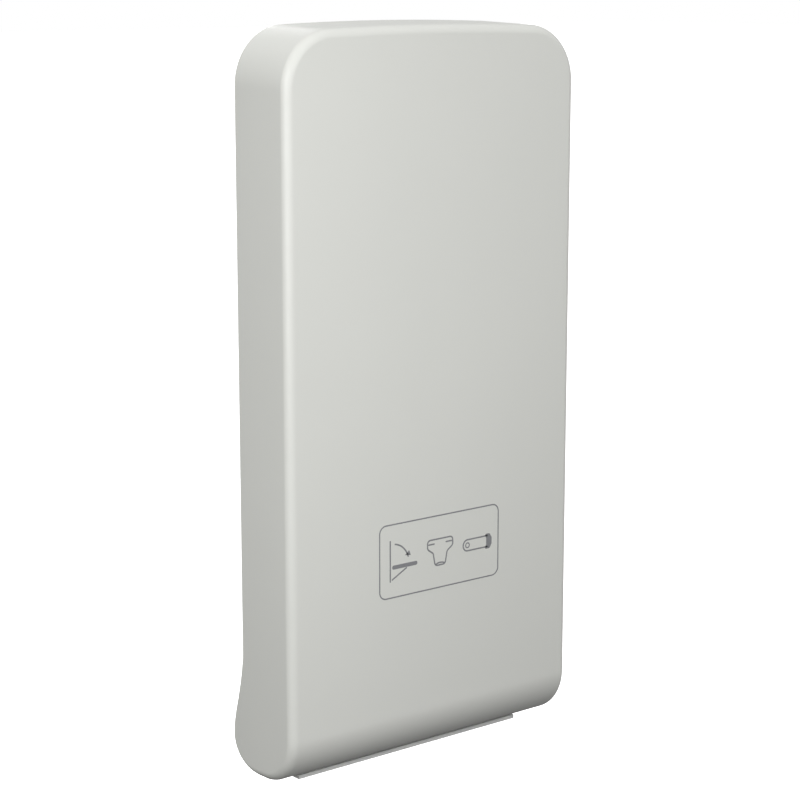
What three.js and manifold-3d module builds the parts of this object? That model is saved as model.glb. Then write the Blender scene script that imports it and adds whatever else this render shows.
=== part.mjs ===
// Vertical fold-down baby changing station, closed against the wall.
// Millimetres, +Z up, +Y into the wall. The origin is the centre of the wall plate's back face.
// The bed swings forward and down about a horizontal axle near its lower end.

import * as THREE from "three";
import { mergeVertices } from "three/addons/utils/BufferGeometryUtils.js";
import Module from "manifold-3d";

const wasm = await Module();
wasm.setup();

// ---------------------------------------------------------------- driving dimensions
const BED_W = 440; // outside width of the bed shell
const BED_TOP = 447; // crown of the shell's top edge
const CROWN = 6; // fall of the top edge from its middle to its ends
const TOP_FALL = 3.4; // fall of the top wall from the rim to the front face
const FRONT_Y = -137; // front face of the closed bed
const RIM_Y = -40; // free rim of the closed bed, towards the wall
const EDGE_R = 11; // rounded edge of the front face
const TOP_R = 68; // rounded top corners, seen from the front
const SKIN = 4; // shell wall
const SPLIT_Z = -300; // straight upper part of the shell meets its rounded foot here

const HINGE_Y = -75; // bed axle
const HINGE_Z = -384;
const FOOT_R = 62; // rounded foot of the shell, about the axle
const FOOT_LIP_Y = -61; // rear edge of the foot's floor

const PLATE_HALF = 174.5; // wall plate, half width
const PLATE_T = 2.5;
const PLATE_TOP = 402;
const TAB_HALF = 125; // raised tab for the catch
const TAB_TOP = 441;
const LIP_FRONT = -88; // support lip under the bed
const LIP_TOP = -448;
const LIP_BOTTOM = -453;

const PANEL_HALF = 170; // inner cover panel on the wall plate
const PANEL_FRONT = -55;
const PANEL_BOTTOM = -262;
const PANEL_TOP = 345;
const PANEL_T = 3;

const TRAY_END = -318; // hinge end of the changing tray
const TRAY_T = 4;
const TRAY_RIM = -42; // tray flange
const TRAY_RIM_LOW = -58; // tray flange at the hinge end
const TRAY_FLOOR = -101;
const TRAY_DISH = 3;
const TRAY_SLOPE = 62; // width of the curved tray side

const STRUT_X = 74; // gas struts
const STRUT_TOP_Y = -16;
const STRUT_TOP_Z = -54;
const STRUT_ARM = 40; // crank radius on the axle
const STRUT_R = 9;
const ROD_R = 4;
const STRUT_BODY = 215;

const STRAP_Z = -20; // safety strap
const STRAP_HALF = 19;
const STRAP_T = 1.6;

const LID_AXIS_Y = -9; // liner dispenser lid
const LID_AXIS_Z = 352;
const GAP = 0.3;

// ---------------------------------------------------------------- solids
const rad = Math.PI / 180;

function solid(geometry) {
  const g = geometry.index ? geometry.toNonIndexed() : geometry;
  const bare = new THREE.BufferGeometry().setAttribute("position", g.getAttribute("position").clone());
  const m = mergeVertices(bare, 1e-4);
  return new wasm.Manifold(
    new wasm.Mesh({
      numProp: 3,
      vertProperties: new Float32Array(m.attributes.position.array),
      triVerts: new Uint32Array(m.index.array),
    }),
  );
}

function geometryOf(s) {
  const m = s.getMesh();
  const n = m.numProp;
  const v = new Float32Array(m.numVert * 3);
  for (let i = 0; i < m.numVert; i++) v.set(m.vertProperties.subarray(i * n, i * n + 3), i * 3);
  const g = new THREE.BufferGeometry()
    .setAttribute("position", new THREE.BufferAttribute(v, 3))
    .setIndex(new THREE.BufferAttribute(new Uint32Array(m.triVerts), 1));
  g.computeVertexNormals();
  return g;
}

function extrude(points, depth, holes, matrix) {
  const shape = new THREE.Shape(points.map((p) => new THREE.Vector2(p[0], p[1])));
  for (const h of holes) shape.holes.push(new THREE.Path(h.map((p) => new THREE.Vector2(p[0], p[1]))));
  const g = new THREE.ExtrudeGeometry(shape, { depth, bevelEnabled: false, steps: 1 });
  return solid(g.applyMatrix4(matrix));
}
// Outline in (y, z), from x0 to x1.
const prismX = (pts, x0, x1, holes = []) =>
  extrude(pts, x1 - x0, holes, new THREE.Matrix4().set(0, 0, 1, x0, 1, 0, 0, 0, 0, 1, 0, 0, 0, 0, 0, 1));
// Outline in (x, z), from y0 to y1.
const prismY = (pts, y0, y1, holes = []) =>
  extrude(pts, y1 - y0, holes, new THREE.Matrix4().set(1, 0, 0, 0, 0, 0, -1, y1, 0, 1, 0, 0, 0, 0, 0, 1));
// Outline in (x, y), from z0 to z1.
const prismZ = (pts, z0, z1, holes = []) =>
  extrude(pts, z1 - z0, holes, new THREE.Matrix4().makeTranslation(0, 0, z0));

function ring(a, b, r, n = 24) {
  return Array.from({ length: n }, (_, i) => [
    a + r * Math.cos((2 * Math.PI * (i + 0.5)) / n),
    b + r * Math.sin((2 * Math.PI * (i + 0.5)) / n),
  ]);
}
const rodX = (y, z, r, x0, x1, n = 24) => prismX(ring(y, z, r, n), x0, x1);
const rodY = (x, z, r, y0, y1, n = 24) => prismY(ring(x, z, r, n), y0, y1);
const rodZ = (x, y, r, z0, z1, n = 24) => prismZ(ring(x, y, r, n), z0, z1);

function box(x0, x1, y0, y1, z0, z1) {
  const g = new THREE.BoxGeometry(x1 - x0, y1 - y0, z1 - z0);
  return solid(g.translate((x0 + x1) / 2, (y0 + y1) / 2, (z0 + z1) / 2));
}

// Rounded rectangle outline.
function roundRect(a0, a1, b0, b1, r, n = 5) {
  const out = [];
  const corner = (ca, cb, from) => {
    for (let i = 0; i <= n; i++) {
      const t = (from + (90 * i) / n) * rad;
      out.push([ca + r * Math.cos(t), cb + r * Math.sin(t)]);
    }
  };
  corner(a1 - r, b1 - r, 0);
  corner(a0 + r, b1 - r, 90);
  corner(a0 + r, b0 + r, 180);
  corner(a1 - r, b0 + r, 270);
  return out;
}

// Closed body through a row of loops with equal point counts. flat gives the two axes the end loops are drawn in.
function loft(loops, flat) {
  const n = loops[0].length;
  const pos = loops.flat();
  const tri = [];
  for (let s = 0; s + 1 < loops.length; s++)
    for (let i = 0; i < n; i++) {
      const j = (i + 1) % n;
      const a = s * n + i,
        b = s * n + j,
        c = (s + 1) * n + i,
        d = (s + 1) * n + j;
      tri.push([a, b, d], [a, d, c]);
    }
  const cap = (s, flip) => {
    const pts = loops[s].map((p) => new THREE.Vector2(p[flat[0]], p[flat[1]]));
    const turn = THREE.ShapeUtils.area(pts) < 0;
    const list = THREE.ShapeUtils.triangulateShape(pts, []);
    for (const [a, b, c] of list) {
      const t = [s * n + a, s * n + b, s * n + c];
      tri.push(flip !== turn ? [t[0], t[2], t[1]] : t);
    }
  };
  const area = THREE.ShapeUtils.area(loops[0].map((p) => new THREE.Vector2(p[flat[0]], p[flat[1]])));
  cap(0, area > 0);
  cap(loops.length - 1, area < 0);
  return closed(pos, tri);
}

// Closed body from points and triangles, turned to face out.
function closed(pos, tri) {
  let vol = 0;
  for (const [a, b, c] of tri) {
    const [p, q, r] = [pos[a], pos[b], pos[c]];
    vol +=
      p[0] * (q[1] * r[2] - q[2] * r[1]) - p[1] * (q[0] * r[2] - q[2] * r[0]) + p[2] * (q[0] * r[1] - q[1] * r[0]);
  }
  const v = new Float32Array(tri.length * 9);
  tri.forEach((t, k) => {
    const o = vol < 0 ? [t[0], t[2], t[1]] : t;
    o.forEach((i, m) => v.set(pos[i], k * 9 + m * 3));
  });
  return solid(new THREE.BufferGeometry().setAttribute("position", new THREE.BufferAttribute(v, 3)));
}

const smooth = (t) => {
  const c = Math.min(1, Math.max(0, t));
  return c * c * c * (c * (c * 6 - 15) + 10);
};

// ---------------------------------------------------------------- bed shell
// Front outline of the bed, inset by e, down to the split line.
function frontOutline(half, top, radius, e) {
  const cx = half - radius;
  const lean = Math.atan((2 * CROWN * cx) / (BED_W / 2) ** 2);
  const stop = Math.PI / 2 - lean;
  const joinX = cx + radius * Math.cos(stop);
  const joinZ = top - CROWN * (joinX / (BED_W / 2)) ** 2;
  const cz = joinZ - radius * Math.sin(stop);
  const r = radius - e;
  const right = [[half - e, SPLIT_Z]];
  for (let i = 0; i <= 7; i++) right.push([cx + r * Math.cos((stop * i) / 7), cz + r * Math.sin((stop * i) / 7)]);
  const lastX = right[right.length - 1][0];
  const row = [];
  for (let i = 1; i < 8; i++) {
    const x = lastX * (1 - (2 * i) / 8);
    row.push([x, top - CROWN * (x / (BED_W / 2)) ** 2 - e]);
  }
  return [...right, ...row, ...right.map(([x, z]) => [-x, z]).reverse()];
}

const STEPS = [0, 22.5, 45, 67.5, 90]; // stations round the rounded edge

// The top wall falls towards the front face.
const fall = (y) => (TOP_FALL * (RIM_Y - y)) / (RIM_Y - FRONT_Y);

function upperBody(half, front, back, top, radius, edge) {
  const loops = STEPS.map((d) => {
    const y = front + edge * (1 - Math.cos(d * rad));
    return frontOutline(half, top - fall(y), radius, edge * (1 - Math.sin(d * rad))).map(([x, z]) => [x, y, z]);
  });
  loops.push(frontOutline(half, top - fall(back), radius, 0).map(([x, z]) => [x, back, z]));
  return loft(loops, [0, 2]);
}

// Side profile points: [y, z, edge radius].
function footBody(half, profile) {
  const n = profile.length;
  const inward = profile.map((p, i) => {
    const a = profile[(i + n - 1) % n],
      b = profile[(i + 1) % n];
    const l = Math.hypot(b[0] - a[0], b[1] - a[1]);
    return [-(b[1] - a[1]) / l, (b[0] - a[0]) / l];
  });
  const at = (d) =>
    profile.map(([y, z, r], i) => {
      const s = d >= r ? 0 : r - Math.sqrt(r * r - (r - d) ** 2);
      const nrm = z === SPLIT_Z ? [1, 0] : inward[i];
      return [y + nrm[0] * s, z + nrm[1] * s];
    });
  const edge = profile[0][2];
  const xs = STEPS.map((d) => edge * (1 - Math.sin(d * rad)));
  const loops = [
    ...xs.slice().reverse().map((d) => at(d).map(([y, z]) => [-half + d, y, z])),
    ...xs.map((d) => at(d).map(([y, z]) => [half - d, y, z])),
  ];
  return loft(loops, [1, 2]);
}

function arc(cy, cz, r, from, to, n, edge) {
  return Array.from({ length: n + 1 }, (_, i) => {
    const t = (from + ((to - from) * i) / n) * rad;
    return [cy + r * Math.cos(t), cz + r * Math.sin(t), edge];
  });
}

// Rear of the foot: the side walls swell towards the wall around the axle.
const SWELL = [
  [-64, -446, 10], [-55.5, -445.2, 8.5], [-46, -442.6, 7], [-37.5, -438.4, 6], [-30, -432.8, 4.8],
  [-23.6, -425.8, 3.8], [-19.2, -418, 3.2], [-17, -409.5, 2.8], [-16.5, -400.5, 2.5], [-17.6, -390.5, 2.5],
  [-19.8, -380, 2.5], [-22.8, -369.5, 2.5], [-26, -359, 2.2], [-29.2, -348.5, 1.8], [-32.1, -338, 1.4],
  [-34.9, -327, 0.9], [-37.4, -315, 0],
];

const outerProfile = [
  [FRONT_Y, SPLIT_Z, EDGE_R],
  [FRONT_Y, -342, EDGE_R],
  ...arc(HINGE_Y, HINGE_Z, FOOT_R, 180, 270, 10, EDGE_R),
  ...SWELL,
  [RIM_Y + 0.6, SPLIT_Z, 0],
];
const innerEdge = EDGE_R - SKIN;
const innerProfile = [
  [FRONT_Y + SKIN, SPLIT_Z, innerEdge],
  [FRONT_Y + SKIN, -342, innerEdge],
  ...arc(HINGE_Y, HINGE_Z, FOOT_R - SKIN, 180, 270, 10, innerEdge),
  [FOOT_LIP_Y, HINGE_Z - FOOT_R + SKIN, innerEdge],
  [FOOT_LIP_Y, -480, 0],
  [40, -480, 0],
  [40, SPLIT_Z, 0],
];

const half = BED_W / 2;
const innerHalf = half - SKIN;
let shell = upperBody(half, FRONT_Y, RIM_Y + 0.6, BED_TOP, TOP_R, EDGE_R).add(footBody(half, outerProfile));
const hollow = upperBody(innerHalf, FRONT_Y + SKIN, 40, BED_TOP - SKIN, TOP_R - SKIN, innerEdge).add(
  footBody(innerHalf, innerProfile),
);
shell = shell.subtract(hollow);

// Screw bosses for the tray flange, moulded to the shell's side and top walls.
const TRAY_SCREWS = [
  [208.6, -150], [208.6, 200], [-208.6, -150], [-208.6, 200],
];
for (const [x, z] of TRAY_SCREWS) {
  const boss = rodY(x, z, 8, TRAY_RIM - 35, TRAY_RIM - TRAY_T - 0.4, 16);
  shell = shell.add(boss).subtract(rodY(x, z, 2.4, TRAY_RIM - 25, TRAY_RIM, 10));
}

// ---------------------------------------------------------------- changing tray
const TRAY_HALF = innerHalf - 0.4;
const TRAY_TOP_R = TOP_R - SKIN - 0.4;
const trayTop = BED_TOP - SKIN - 0.7;

// Height (Y) of the tray's upper surface over the front view.
function trayY(x, z) {
  const xi = 202,
    top = trayTop - 13 - CROWN * (x / half) ** 2,
    bottom = -300,
    rc = z > 0 ? 52 : 44;
  const cz = (top + bottom) / 2,
    hz = (top - bottom) / 2;
  const qx = Math.abs(x) - (xi - rc),
    qz = Math.abs(z - cz) - (hz - rc);
  const d = -(Math.hypot(Math.max(qx, 0), Math.max(qz, 0)) + Math.min(Math.max(qx, qz), 0) - rc);
  const rim = TRAY_RIM + (TRAY_RIM_LOW - TRAY_RIM) * smooth((-215 - z) / 80);
  const floor = TRAY_FLOOR - TRAY_DISH * Math.max(0, 1 - (x / 150) ** 2);
  return rim + (floor - rim) * smooth(d / TRAY_SLOPE);
}

function trayBody() {
  const ts = [0, 0.16, 0.32, 0.48, 0.6, 0.66, 0.7, 0.735, 0.77, 0.805, 0.84, 0.875, 0.91, 0.945, 1];
  const cols = [...ts.slice(1).map((t) => -t).reverse(), ...ts];
  const cx = TRAY_HALF - TRAY_TOP_R;
  const cz = trayTop - 2.96 - TRAY_TOP_R;
  const zs = [TRAY_END, -305, -296, -284, -272, -260, -248, -236, -215, -180, -120, -60, 0, 80, 170, 260, 330, 355, cz];
  const rows = zs.map((z) => [z, TRAY_HALF]);
  for (const a of [15, 30, 45, 60, 75, 90])
    rows.push([cz + TRAY_TOP_R * Math.sin(a * rad), cx + TRAY_TOP_R * Math.cos(a * rad)]);
  const pos = [],
    tri = [];
  const nc = cols.length,
    nr = rows.length;
  for (const side of [0, 1])
    for (const [z, w] of rows)
      for (const t of cols) {
        const x = t * w;
        const rise = smooth((z - 300) / 140) * 2.96 * (1 - (x / cx) ** 2);
        const zz = z + (Math.abs(x) < cx ? rise : 0);
        pos.push([x, trayY(x, zz) - side * TRAY_T, zz]);
      }
  const id = (s, r, c) => s * nr * nc + r * nc + c;
  for (let r = 0; r + 1 < nr; r++)
    for (let c = 0; c + 1 < nc; c++) {
      tri.push([id(0, r, c), id(0, r, c + 1), id(0, r + 1, c + 1)], [id(0, r, c), id(0, r + 1, c + 1), id(0, r + 1, c)]);
      tri.push([id(1, r, c), id(1, r + 1, c + 1), id(1, r, c + 1)], [id(1, r, c), id(1, r + 1, c), id(1, r + 1, c + 1)]);
    }
  const edge = [];
  for (let c = 0; c < nc; c++) edge.push([0, c]);
  for (let r = 1; r < nr; r++) edge.push([r, nc - 1]);
  for (let c = nc - 2; c >= 0; c--) edge.push([nr - 1, c]);
  for (let r = nr - 2; r > 0; r--) edge.push([r, 0]);
  edge.forEach(([r, c], i) => {
    const [r2, c2] = edge[(i + 1) % edge.length];
    tri.push([id(0, r, c), id(1, r2, c2), id(0, r2, c2)], [id(0, r, c), id(1, r, c), id(1, r2, c2)]);
  });
  return closed(pos, tri);
}
let tray = trayBody();
for (const [x, z] of TRAY_SCREWS) tray = tray.subtract(rodY(x, z, 2.9, TRAY_RIM - 9, TRAY_RIM + 11, 10));

// ---------------------------------------------------------------- parts list
const part = new THREE.Group();
const FINISH = {
  shell: ["#d3d4cf", 0.42, 0],
  tray: ["#d3d4cf", 0.5, 0],
  panel: ["#c9cac6", 0.5, 0],
  plate: ["#a9abad", 0.45, 0.8],
  steel: ["#9fa2a5", 0.35, 0.9],
  black: ["#1d1e20", 0.45, 0],
  rubber: ["#2a2a2b", 0.8, 0],
  nylon: ["#e6e4dc", 0.5, 0],
  webbing: ["#3a4148", 0.85, 0],
};
function put(name, body, finish, parent = part) {
  const [color, roughness, metalness] = FINISH[finish];
  const mesh = new THREE.Mesh(geometryOf(body), new THREE.MeshStandardMaterial({ color, roughness, metalness }));
  mesh.name = name;
  parent.add(mesh);
  return mesh;
}
const SIDES = [["left", -1], ["right", 1]];
// A span on the right side, or its mirror on the left.
const span = (s, a, b) => (s > 0 ? [a, b] : [-b, -a]);

// ---------------------------------------------------------------- wall side
const plateHoles = [];
for (const x of [-120, 120]) for (const z of [-230, 60, 300]) plateHoles.push(ring(x, z, 4.5, 16));
let plate = prismY(
  [
    [-PLATE_HALF, LIP_BOTTOM], [PLATE_HALF, LIP_BOTTOM], [PLATE_HALF, PLATE_TOP], [TAB_HALF, PLATE_TOP],
    [TAB_HALF, TAB_TOP], [-TAB_HALF, TAB_TOP], [-TAB_HALF, PLATE_TOP], [-PLATE_HALF, PLATE_TOP],
  ],
  -PLATE_T, 0, plateHoles,
);
plate = plate.add(box(-PLATE_HALF, PLATE_HALF, LIP_FRONT, -1, LIP_BOTTOM, LIP_TOP));
// Welded posts that the cover panel is screwed to.
const POSTS = [[-148, -225], [148, -225], [-148, 128], [148, 128]];
for (const [x, z] of POSTS)
  plate = plate
    .add(rodY(x, z, 7, PANEL_FRONT + PANEL_T + GAP, -1, 16))
    .subtract(rodY(x, z, 2.5, PANEL_FRONT, -36, 10));
put("wall_plate", plate, "plate");
for (const [side, s] of SIDES) {
  const [a, b] = span(s, 70, 150);
  put("lip_pad_" + side, prismZ(roundRect(a, b, -80, -64, 4, 4), LIP_TOP + GAP, LIP_TOP + 1.6), "rubber");
}

// Cover panel: a wide channel over the wall plate, open at its top and bottom.
const pf = PANEL_FRONT,
  pr = 14,
  ph = PANEL_HALF,
  pb = -PLATE_T - GAP;
const channel = [];
channel.push([-ph, pb]);
for (let i = 0; i <= 5; i++) channel.push([-ph + pr - pr * Math.cos(i * 18 * rad), pf + pr - pr * Math.sin(i * 18 * rad)]);
for (let i = 5; i >= 0; i--) channel.push([ph - pr + pr * Math.cos(i * 18 * rad), pf + pr - pr * Math.sin(i * 18 * rad)]);
channel.push([ph, pb], [ph - PANEL_T, pb]);
const ir = pr - PANEL_T;
for (let i = 0; i <= 5; i++) channel.push([ph - pr + ir * Math.cos(i * 18 * rad), pf + pr - ir * Math.sin(i * 18 * rad)]);
for (let i = 5; i >= 0; i--) channel.push([-ph + pr - ir * Math.cos(i * 18 * rad), pf + pr - ir * Math.sin(i * 18 * rad)]);
channel.push([-ph + PANEL_T, pb]);
let panel = prismZ(channel, PANEL_BOTTOM, PANEL_TOP);
// Liner slot with a finger notch, a keeper for the lock, and holes for the screws and hooks.
panel = panel.subtract(prismY(roundRect(-105, 105, 205, 229, 11, 5), pf - 2, pf + PANEL_T + 2));
panel = panel.subtract(prismY(roundRect(-32, 32, 190, 226, 15, 5), pf - 2, pf + PANEL_T + 2));
panel = panel.add(box(-16, 16, pf + PANEL_T - 0.5, -47, 336, 339));
for (const [x, z] of POSTS) panel = panel.subtract(rodY(x, z, 2.9, pf - 2, pf + PANEL_T + 2, 12));
put("back_panel", panel, "panel");

POSTS.forEach(([x, z], i) => {
  const screw = rodY(x, z, 5, pf - GAP - 2.4, pf - GAP, 16).add(rodY(x, z, 2.1, pf - 1, -39, 10));
  put("panel_screw_" + (i + 1), screw.subtract(rodY(x, z, 1.7, pf - 4, pf - 1.6, 6)), "steel");
});

// Liner bin: floor, back and ends.
let bin = box(-150, 150, -51.4, -3.2, 150, 341).subtract(box(-148, 148, -60, -5.2, 152, 350));
bin = bin.add(box(-149, 149, -51.4, -49.4, 151, 180));
put("liner_bin", bin, "panel");

// Lid over the bin, on a pin along its rear edge, with a turning lock.
let lid = prismZ(roundRect(-ph, ph, pf, -19, 10, 4), PANEL_TOP + 0.5, PANEL_TOP + 3.5);
for (const s of [-1, 1]) {
  const [a, b] = span(s, 95, 123);
  const arm = prismX([[-22, PANEL_TOP + 0.6], [-15, PANEL_TOP + 0.6], [LID_AXIS_Y, LID_AXIS_Z - 4.6], [LID_AXIS_Y, LID_AXIS_Z + 4.6], [-22, PANEL_TOP + 3.4]], a, b);
  lid = lid.add(arm).add(rodX(LID_AXIS_Y, LID_AXIS_Z, 5, a, b, 16));
}
lid = lid.subtract(rodX(LID_AXIS_Y, LID_AXIS_Z, 2.9, -200, 200, 16)).subtract(rodZ(0, -34, 6.9, 330, 360, 20));
put("dispenser_lid", lid, "panel");
put("lid_pin", rodX(LID_AXIS_Y, LID_AXIS_Z, 2.5, -139, 139, 14), "steel");
for (const [side, s] of SIDES) {
  const [a, b] = span(s, 127, 137);
  let br = box(a, b, -14.5, pb, 346.2, 357.5).subtract(rodX(LID_AXIS_Y, LID_AXIS_Z, 2.85, -200, 200, 14));
  put("lid_bracket_" + side, br, "steel");
}
let barrel = rodZ(0, -34, 6.5, 334.5, PANEL_TOP + 5, 20).add(rodZ(0, -34, 9, PANEL_TOP + 3.8, PANEL_TOP + 6, 24));
barrel = barrel.subtract(box(-0.9, 0.9, -39, -29, PANEL_TOP + 3, PANEL_TOP + 8)).add(box(-4, 16, -38, -30, 331.5, 334.6));
put("lock_barrel", barrel, "steel");

// Magnetic catch and rubber stops at the top.
let housing = prismY(roundRect(-34, 34, 421, 440, 5, 4), RIM_Y, pb);
for (const x of [-18, 18])
  housing = housing.subtract(box(x - 10.3, x + 10.3, RIM_Y - 10, RIM_Y + 7.3, 424.7, 435.3));
put("catch_housing", housing, "black");
for (const [side, s] of SIDES) {
  const [a, b] = span(s, 8, 28);
  put("catch_magnet_" + side, box(a, b, RIM_Y + 0.4, RIM_Y + 7, 425, 435), "steel");
  put("stop_bumper_" + side, rodY(62 * s, 431, 7.5, TRAY_RIM + 0.5, pb, 20), "rubber");
}

// Bag hooks on the panel.
for (const [side, s] of SIDES) {
  const [a, b] = span(s, 111, 129);
  const hook = prismX(
    [
      [pf - GAP, -92], [pf - GAP, -150], [-59, -150], [-60, -141], [-66, -146], [-75, -146], [-81, -140], [-83, -128],
      [-79, -126], [-76.5, -136], [-72, -140], [-66, -139], [-61, -132], [-59.5, -120], [-59, -92],
    ],
    a, b,
  );
  put("bag_hook_" + side, hook, "panel");
}

// ---------------------------------------------------------------- hinge
for (const [side, s] of SIDES) {
  const [a, b] = span(s, 137.5, 142.5);
  const [fa, fb] = span(s, 142, 166);
  let arm = prismX([[pb, -358], [pb, -290], [-20, -290], [-84, HINGE_Z + 15], [-84, HINGE_Z - 14], [-66, HINGE_Z - 15]], a, b)
    .add(rodX(HINGE_Y, HINGE_Z, 19, a, b, 32))
    .add(box(fa, fb, pb - 5, pb, -358, -290));
  arm = arm.subtract(rodX(HINGE_Y, HINGE_Z, 9.9, -200, 200, 28));
  for (const z of [-342, -306]) arm = arm.subtract(rodY(154 * s, z, 4.4, -20, 5, 14));
  put("hinge_arm_" + side, arm, "steel");
  [-342, -306].forEach((z, i) => {
    const bolt = prismY(ring(154 * s, z, 6.6, 6), pb - 5 - GAP - 4.5, pb - 5 - GAP).add(
      rodY(154 * s, z, 3.9, pb - 6, pb - GAP, 12),
    );
    put(["arm_bolt_lower_", "arm_bolt_upper_"][i] + side, bolt, "steel");
  });
  const [c0, c1] = span(s, 136.5, 143),
    [d0, d1] = span(s, 142.9, 145.4);
  const bush = rodX(HINGE_Y, HINGE_Z, 9.5, c0, c1, 28)
    .add(rodX(HINGE_Y, HINGE_Z, 14, d0, d1, 28))
    .subtract(rodX(HINGE_Y, HINGE_Z, 7.4, -200, 200, 28));
  put("hinge_bush_" + side, bush, "nylon");
}

// ---------------------------------------------------------------- gas struts
const tip = [HINGE_Y + STRUT_ARM * Math.SQRT1_2, HINGE_Z - STRUT_ARM * Math.SQRT1_2]; // crank pin, bed closed
const run = Math.hypot(tip[0] - STRUT_TOP_Y, tip[1] - STRUT_TOP_Z);
const lean = Math.atan2(tip[0] - STRUT_TOP_Y, -(tip[1] - STRUT_TOP_Z)); // strut's tilt away from straight down
for (const [side, s] of SIDES) {
  const x = STRUT_X * s;
  let mount = box(x - 17, x + 17, pb - 3, pb, STRUT_TOP_Z - 16, STRUT_TOP_Z + 16);
  for (const e of [-1, 1]) {
    const [a, b] = span(e, 6.5, 9.5);
    mount = mount.add(
      prismX([[pb, STRUT_TOP_Z - 12], [pb, STRUT_TOP_Z + 12], [-16, STRUT_TOP_Z + 8], [-24, STRUT_TOP_Z + 5], [-24, STRUT_TOP_Z - 5], [-16, STRUT_TOP_Z - 8]], x + a, x + b),
    );
  }
  mount = mount.subtract(rodX(STRUT_TOP_Y, STRUT_TOP_Z, 4.4, x - 40, x + 40, 16));
  put("strut_bracket_" + side, mount, "steel");
  put("strut_pin_" + side, rodX(STRUT_TOP_Y, STRUT_TOP_Z, 4, x - 11.5, x + 11.5, 16), "steel");

  // Built straight down from the top pivot, then leaned.
  const place = new THREE.Group();
  place.position.set(x, STRUT_TOP_Y, STRUT_TOP_Z);
  place.rotation.x = lean;
  part.add(place);
  let tube = rodZ(0, 0, STRUT_R, -STRUT_BODY, -16, 24)
    .add(box(-5, 5, -6, 6, -20, -3))
    .add(rodX(0, 0, 8, -5, 5, 20))
    .subtract(rodX(0, 0, 4.4, -20, 20, 16))
    .subtract(rodZ(0, 0, 7.5, -STRUT_BODY + 14, -28, 20))
    .subtract(rodZ(0, 0, ROD_R + 0.35, -STRUT_BODY - 5, -STRUT_BODY + 20, 20));
  put("strut_cylinder_" + side, tube, "black", place);
  let rod = rodZ(0, 0, ROD_R, -run + 5, -115, 16)
    .add(rodZ(0, 0, 7, -125, -113, 20))
    .add(rodX(0, -run, 8.5, -3, 3, 20));
  const [p0, p1] = span(-s, 2, 12);
  rod = rod.add(rodX(0, -run, 4, p0, p1, 16));
  put("strut_rod_" + side, rod, "steel", place);
}

// ---------------------------------------------------------------- bed
put("bed_shell", shell, "shell");
TRAY_SCREWS.forEach(([x, z], i) => {
  const y = TRAY_RIM + GAP;
  const screw = rodY(x, z, 4.2, y, y + 1.6, 14).add(rodY(x, z, 1.9, TRAY_RIM - 21, y + 0.5, 10));
  put("tray_screw_" + (i + 1), screw, "steel");
});
put("strike_plate", prismY(roundRect(-36, 36, 431.6, 440, 3, 3), TRAY_RIM + GAP, TRAY_RIM + 1.6), "steel");

const frontIn = FRONT_Y + SKIN + 0.4;
for (const [side, s] of SIDES) {
  const [a, b] = span(s, 146, 151);
  const [fa, fb] = span(s, 146, 172);
  const [sa, sb] = span(s, 156, 170);
  let hp = prismX(
    [[frontIn, HINGE_Z + 62], [frontIn + 6, HINGE_Z + 62], [-66, HINGE_Z + 16], [-70, HINGE_Z - 17], [frontIn, HINGE_Z + 2]], a, b,
  )
    .add(rodX(HINGE_Y, HINGE_Z, 18, a, b, 32))
    .add(box(fa, fb, frontIn, frontIn + 5, HINGE_Z + 3, HINGE_Z + 62))
    .add(box(sa, sb, frontIn, frontIn + 5, HINGE_Z + 60, -180));
  hp = hp.subtract(rodX(HINGE_Y, HINGE_Z, 7.35, -200, 200, 28));
  put("bed_hinge_plate_" + side, hp, "steel");

  const [ca, cb] = span(s, 148, 178);
  const channelBar = prismZ(
    [
      [ca, frontIn], [ca + 2, frontIn], [ca + 2, -115], [cb - 2, -115], [cb - 2, frontIn], [cb, frontIn], [cb, -113], [ca, -113],
    ],
    -310, 330,
  );
  put("bed_stiffener_" + side, channelBar, "steel");

  // Crank on the axle with a radial slot for the strut's pin.
  const [la, lb] = span(s, 64, 68);
  const u = [Math.SQRT1_2, -Math.SQRT1_2],
    w = [Math.SQRT1_2, Math.SQRT1_2];
  const pt = (r, t) => [HINGE_Y + u[0] * r + w[0] * t, HINGE_Z + u[1] * r + w[1] * t];
  const slotIn = STRUT_ARM * Math.SQRT1_2,
    sw = 6.7;
  const slot = [];
  for (let i = 0; i <= 8; i++) {
    const t = (-90 + i * 22.5) * rad;
    slot.push(pt(STRUT_ARM - 1.8 + sw * Math.cos(t), sw * Math.sin(t)));
  }
  for (let i = 0; i <= 8; i++) {
    const t = (90 + i * 22.5) * rad;
    slot.push(pt(slotIn + 1.8 + sw * Math.cos(t), sw * Math.sin(t)));
  }
  let crank = rodX(HINGE_Y, HINGE_Z, 17, la, lb, 32)
    .add(prismX([pt(0, -14), pt(STRUT_ARM, -12.5), pt(STRUT_ARM + 9, -8), pt(STRUT_ARM + 11, 0), pt(STRUT_ARM + 9, 8), pt(STRUT_ARM, 12.5), pt(0, 14)], la, lb))
    .subtract(prismX(slot, -200, 200))
    .subtract(rodX(HINGE_Y, HINGE_Z, 7.35, -200, 200, 28));
  put("strut_crank_" + side, crank, "steel");
  const [k0, k1] = span(s, 151.4, 156.4);
  put("axle_collar_" + side, rodX(HINGE_Y, HINGE_Z, 12, k0, k1, 28).subtract(rodX(HINGE_Y, HINGE_Z, 7.35, -200, 200, 28)), "steel");
}
put("hinge_axle", rodX(HINGE_Y, HINGE_Z, 7, -160, 160, 28), "steel");

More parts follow.
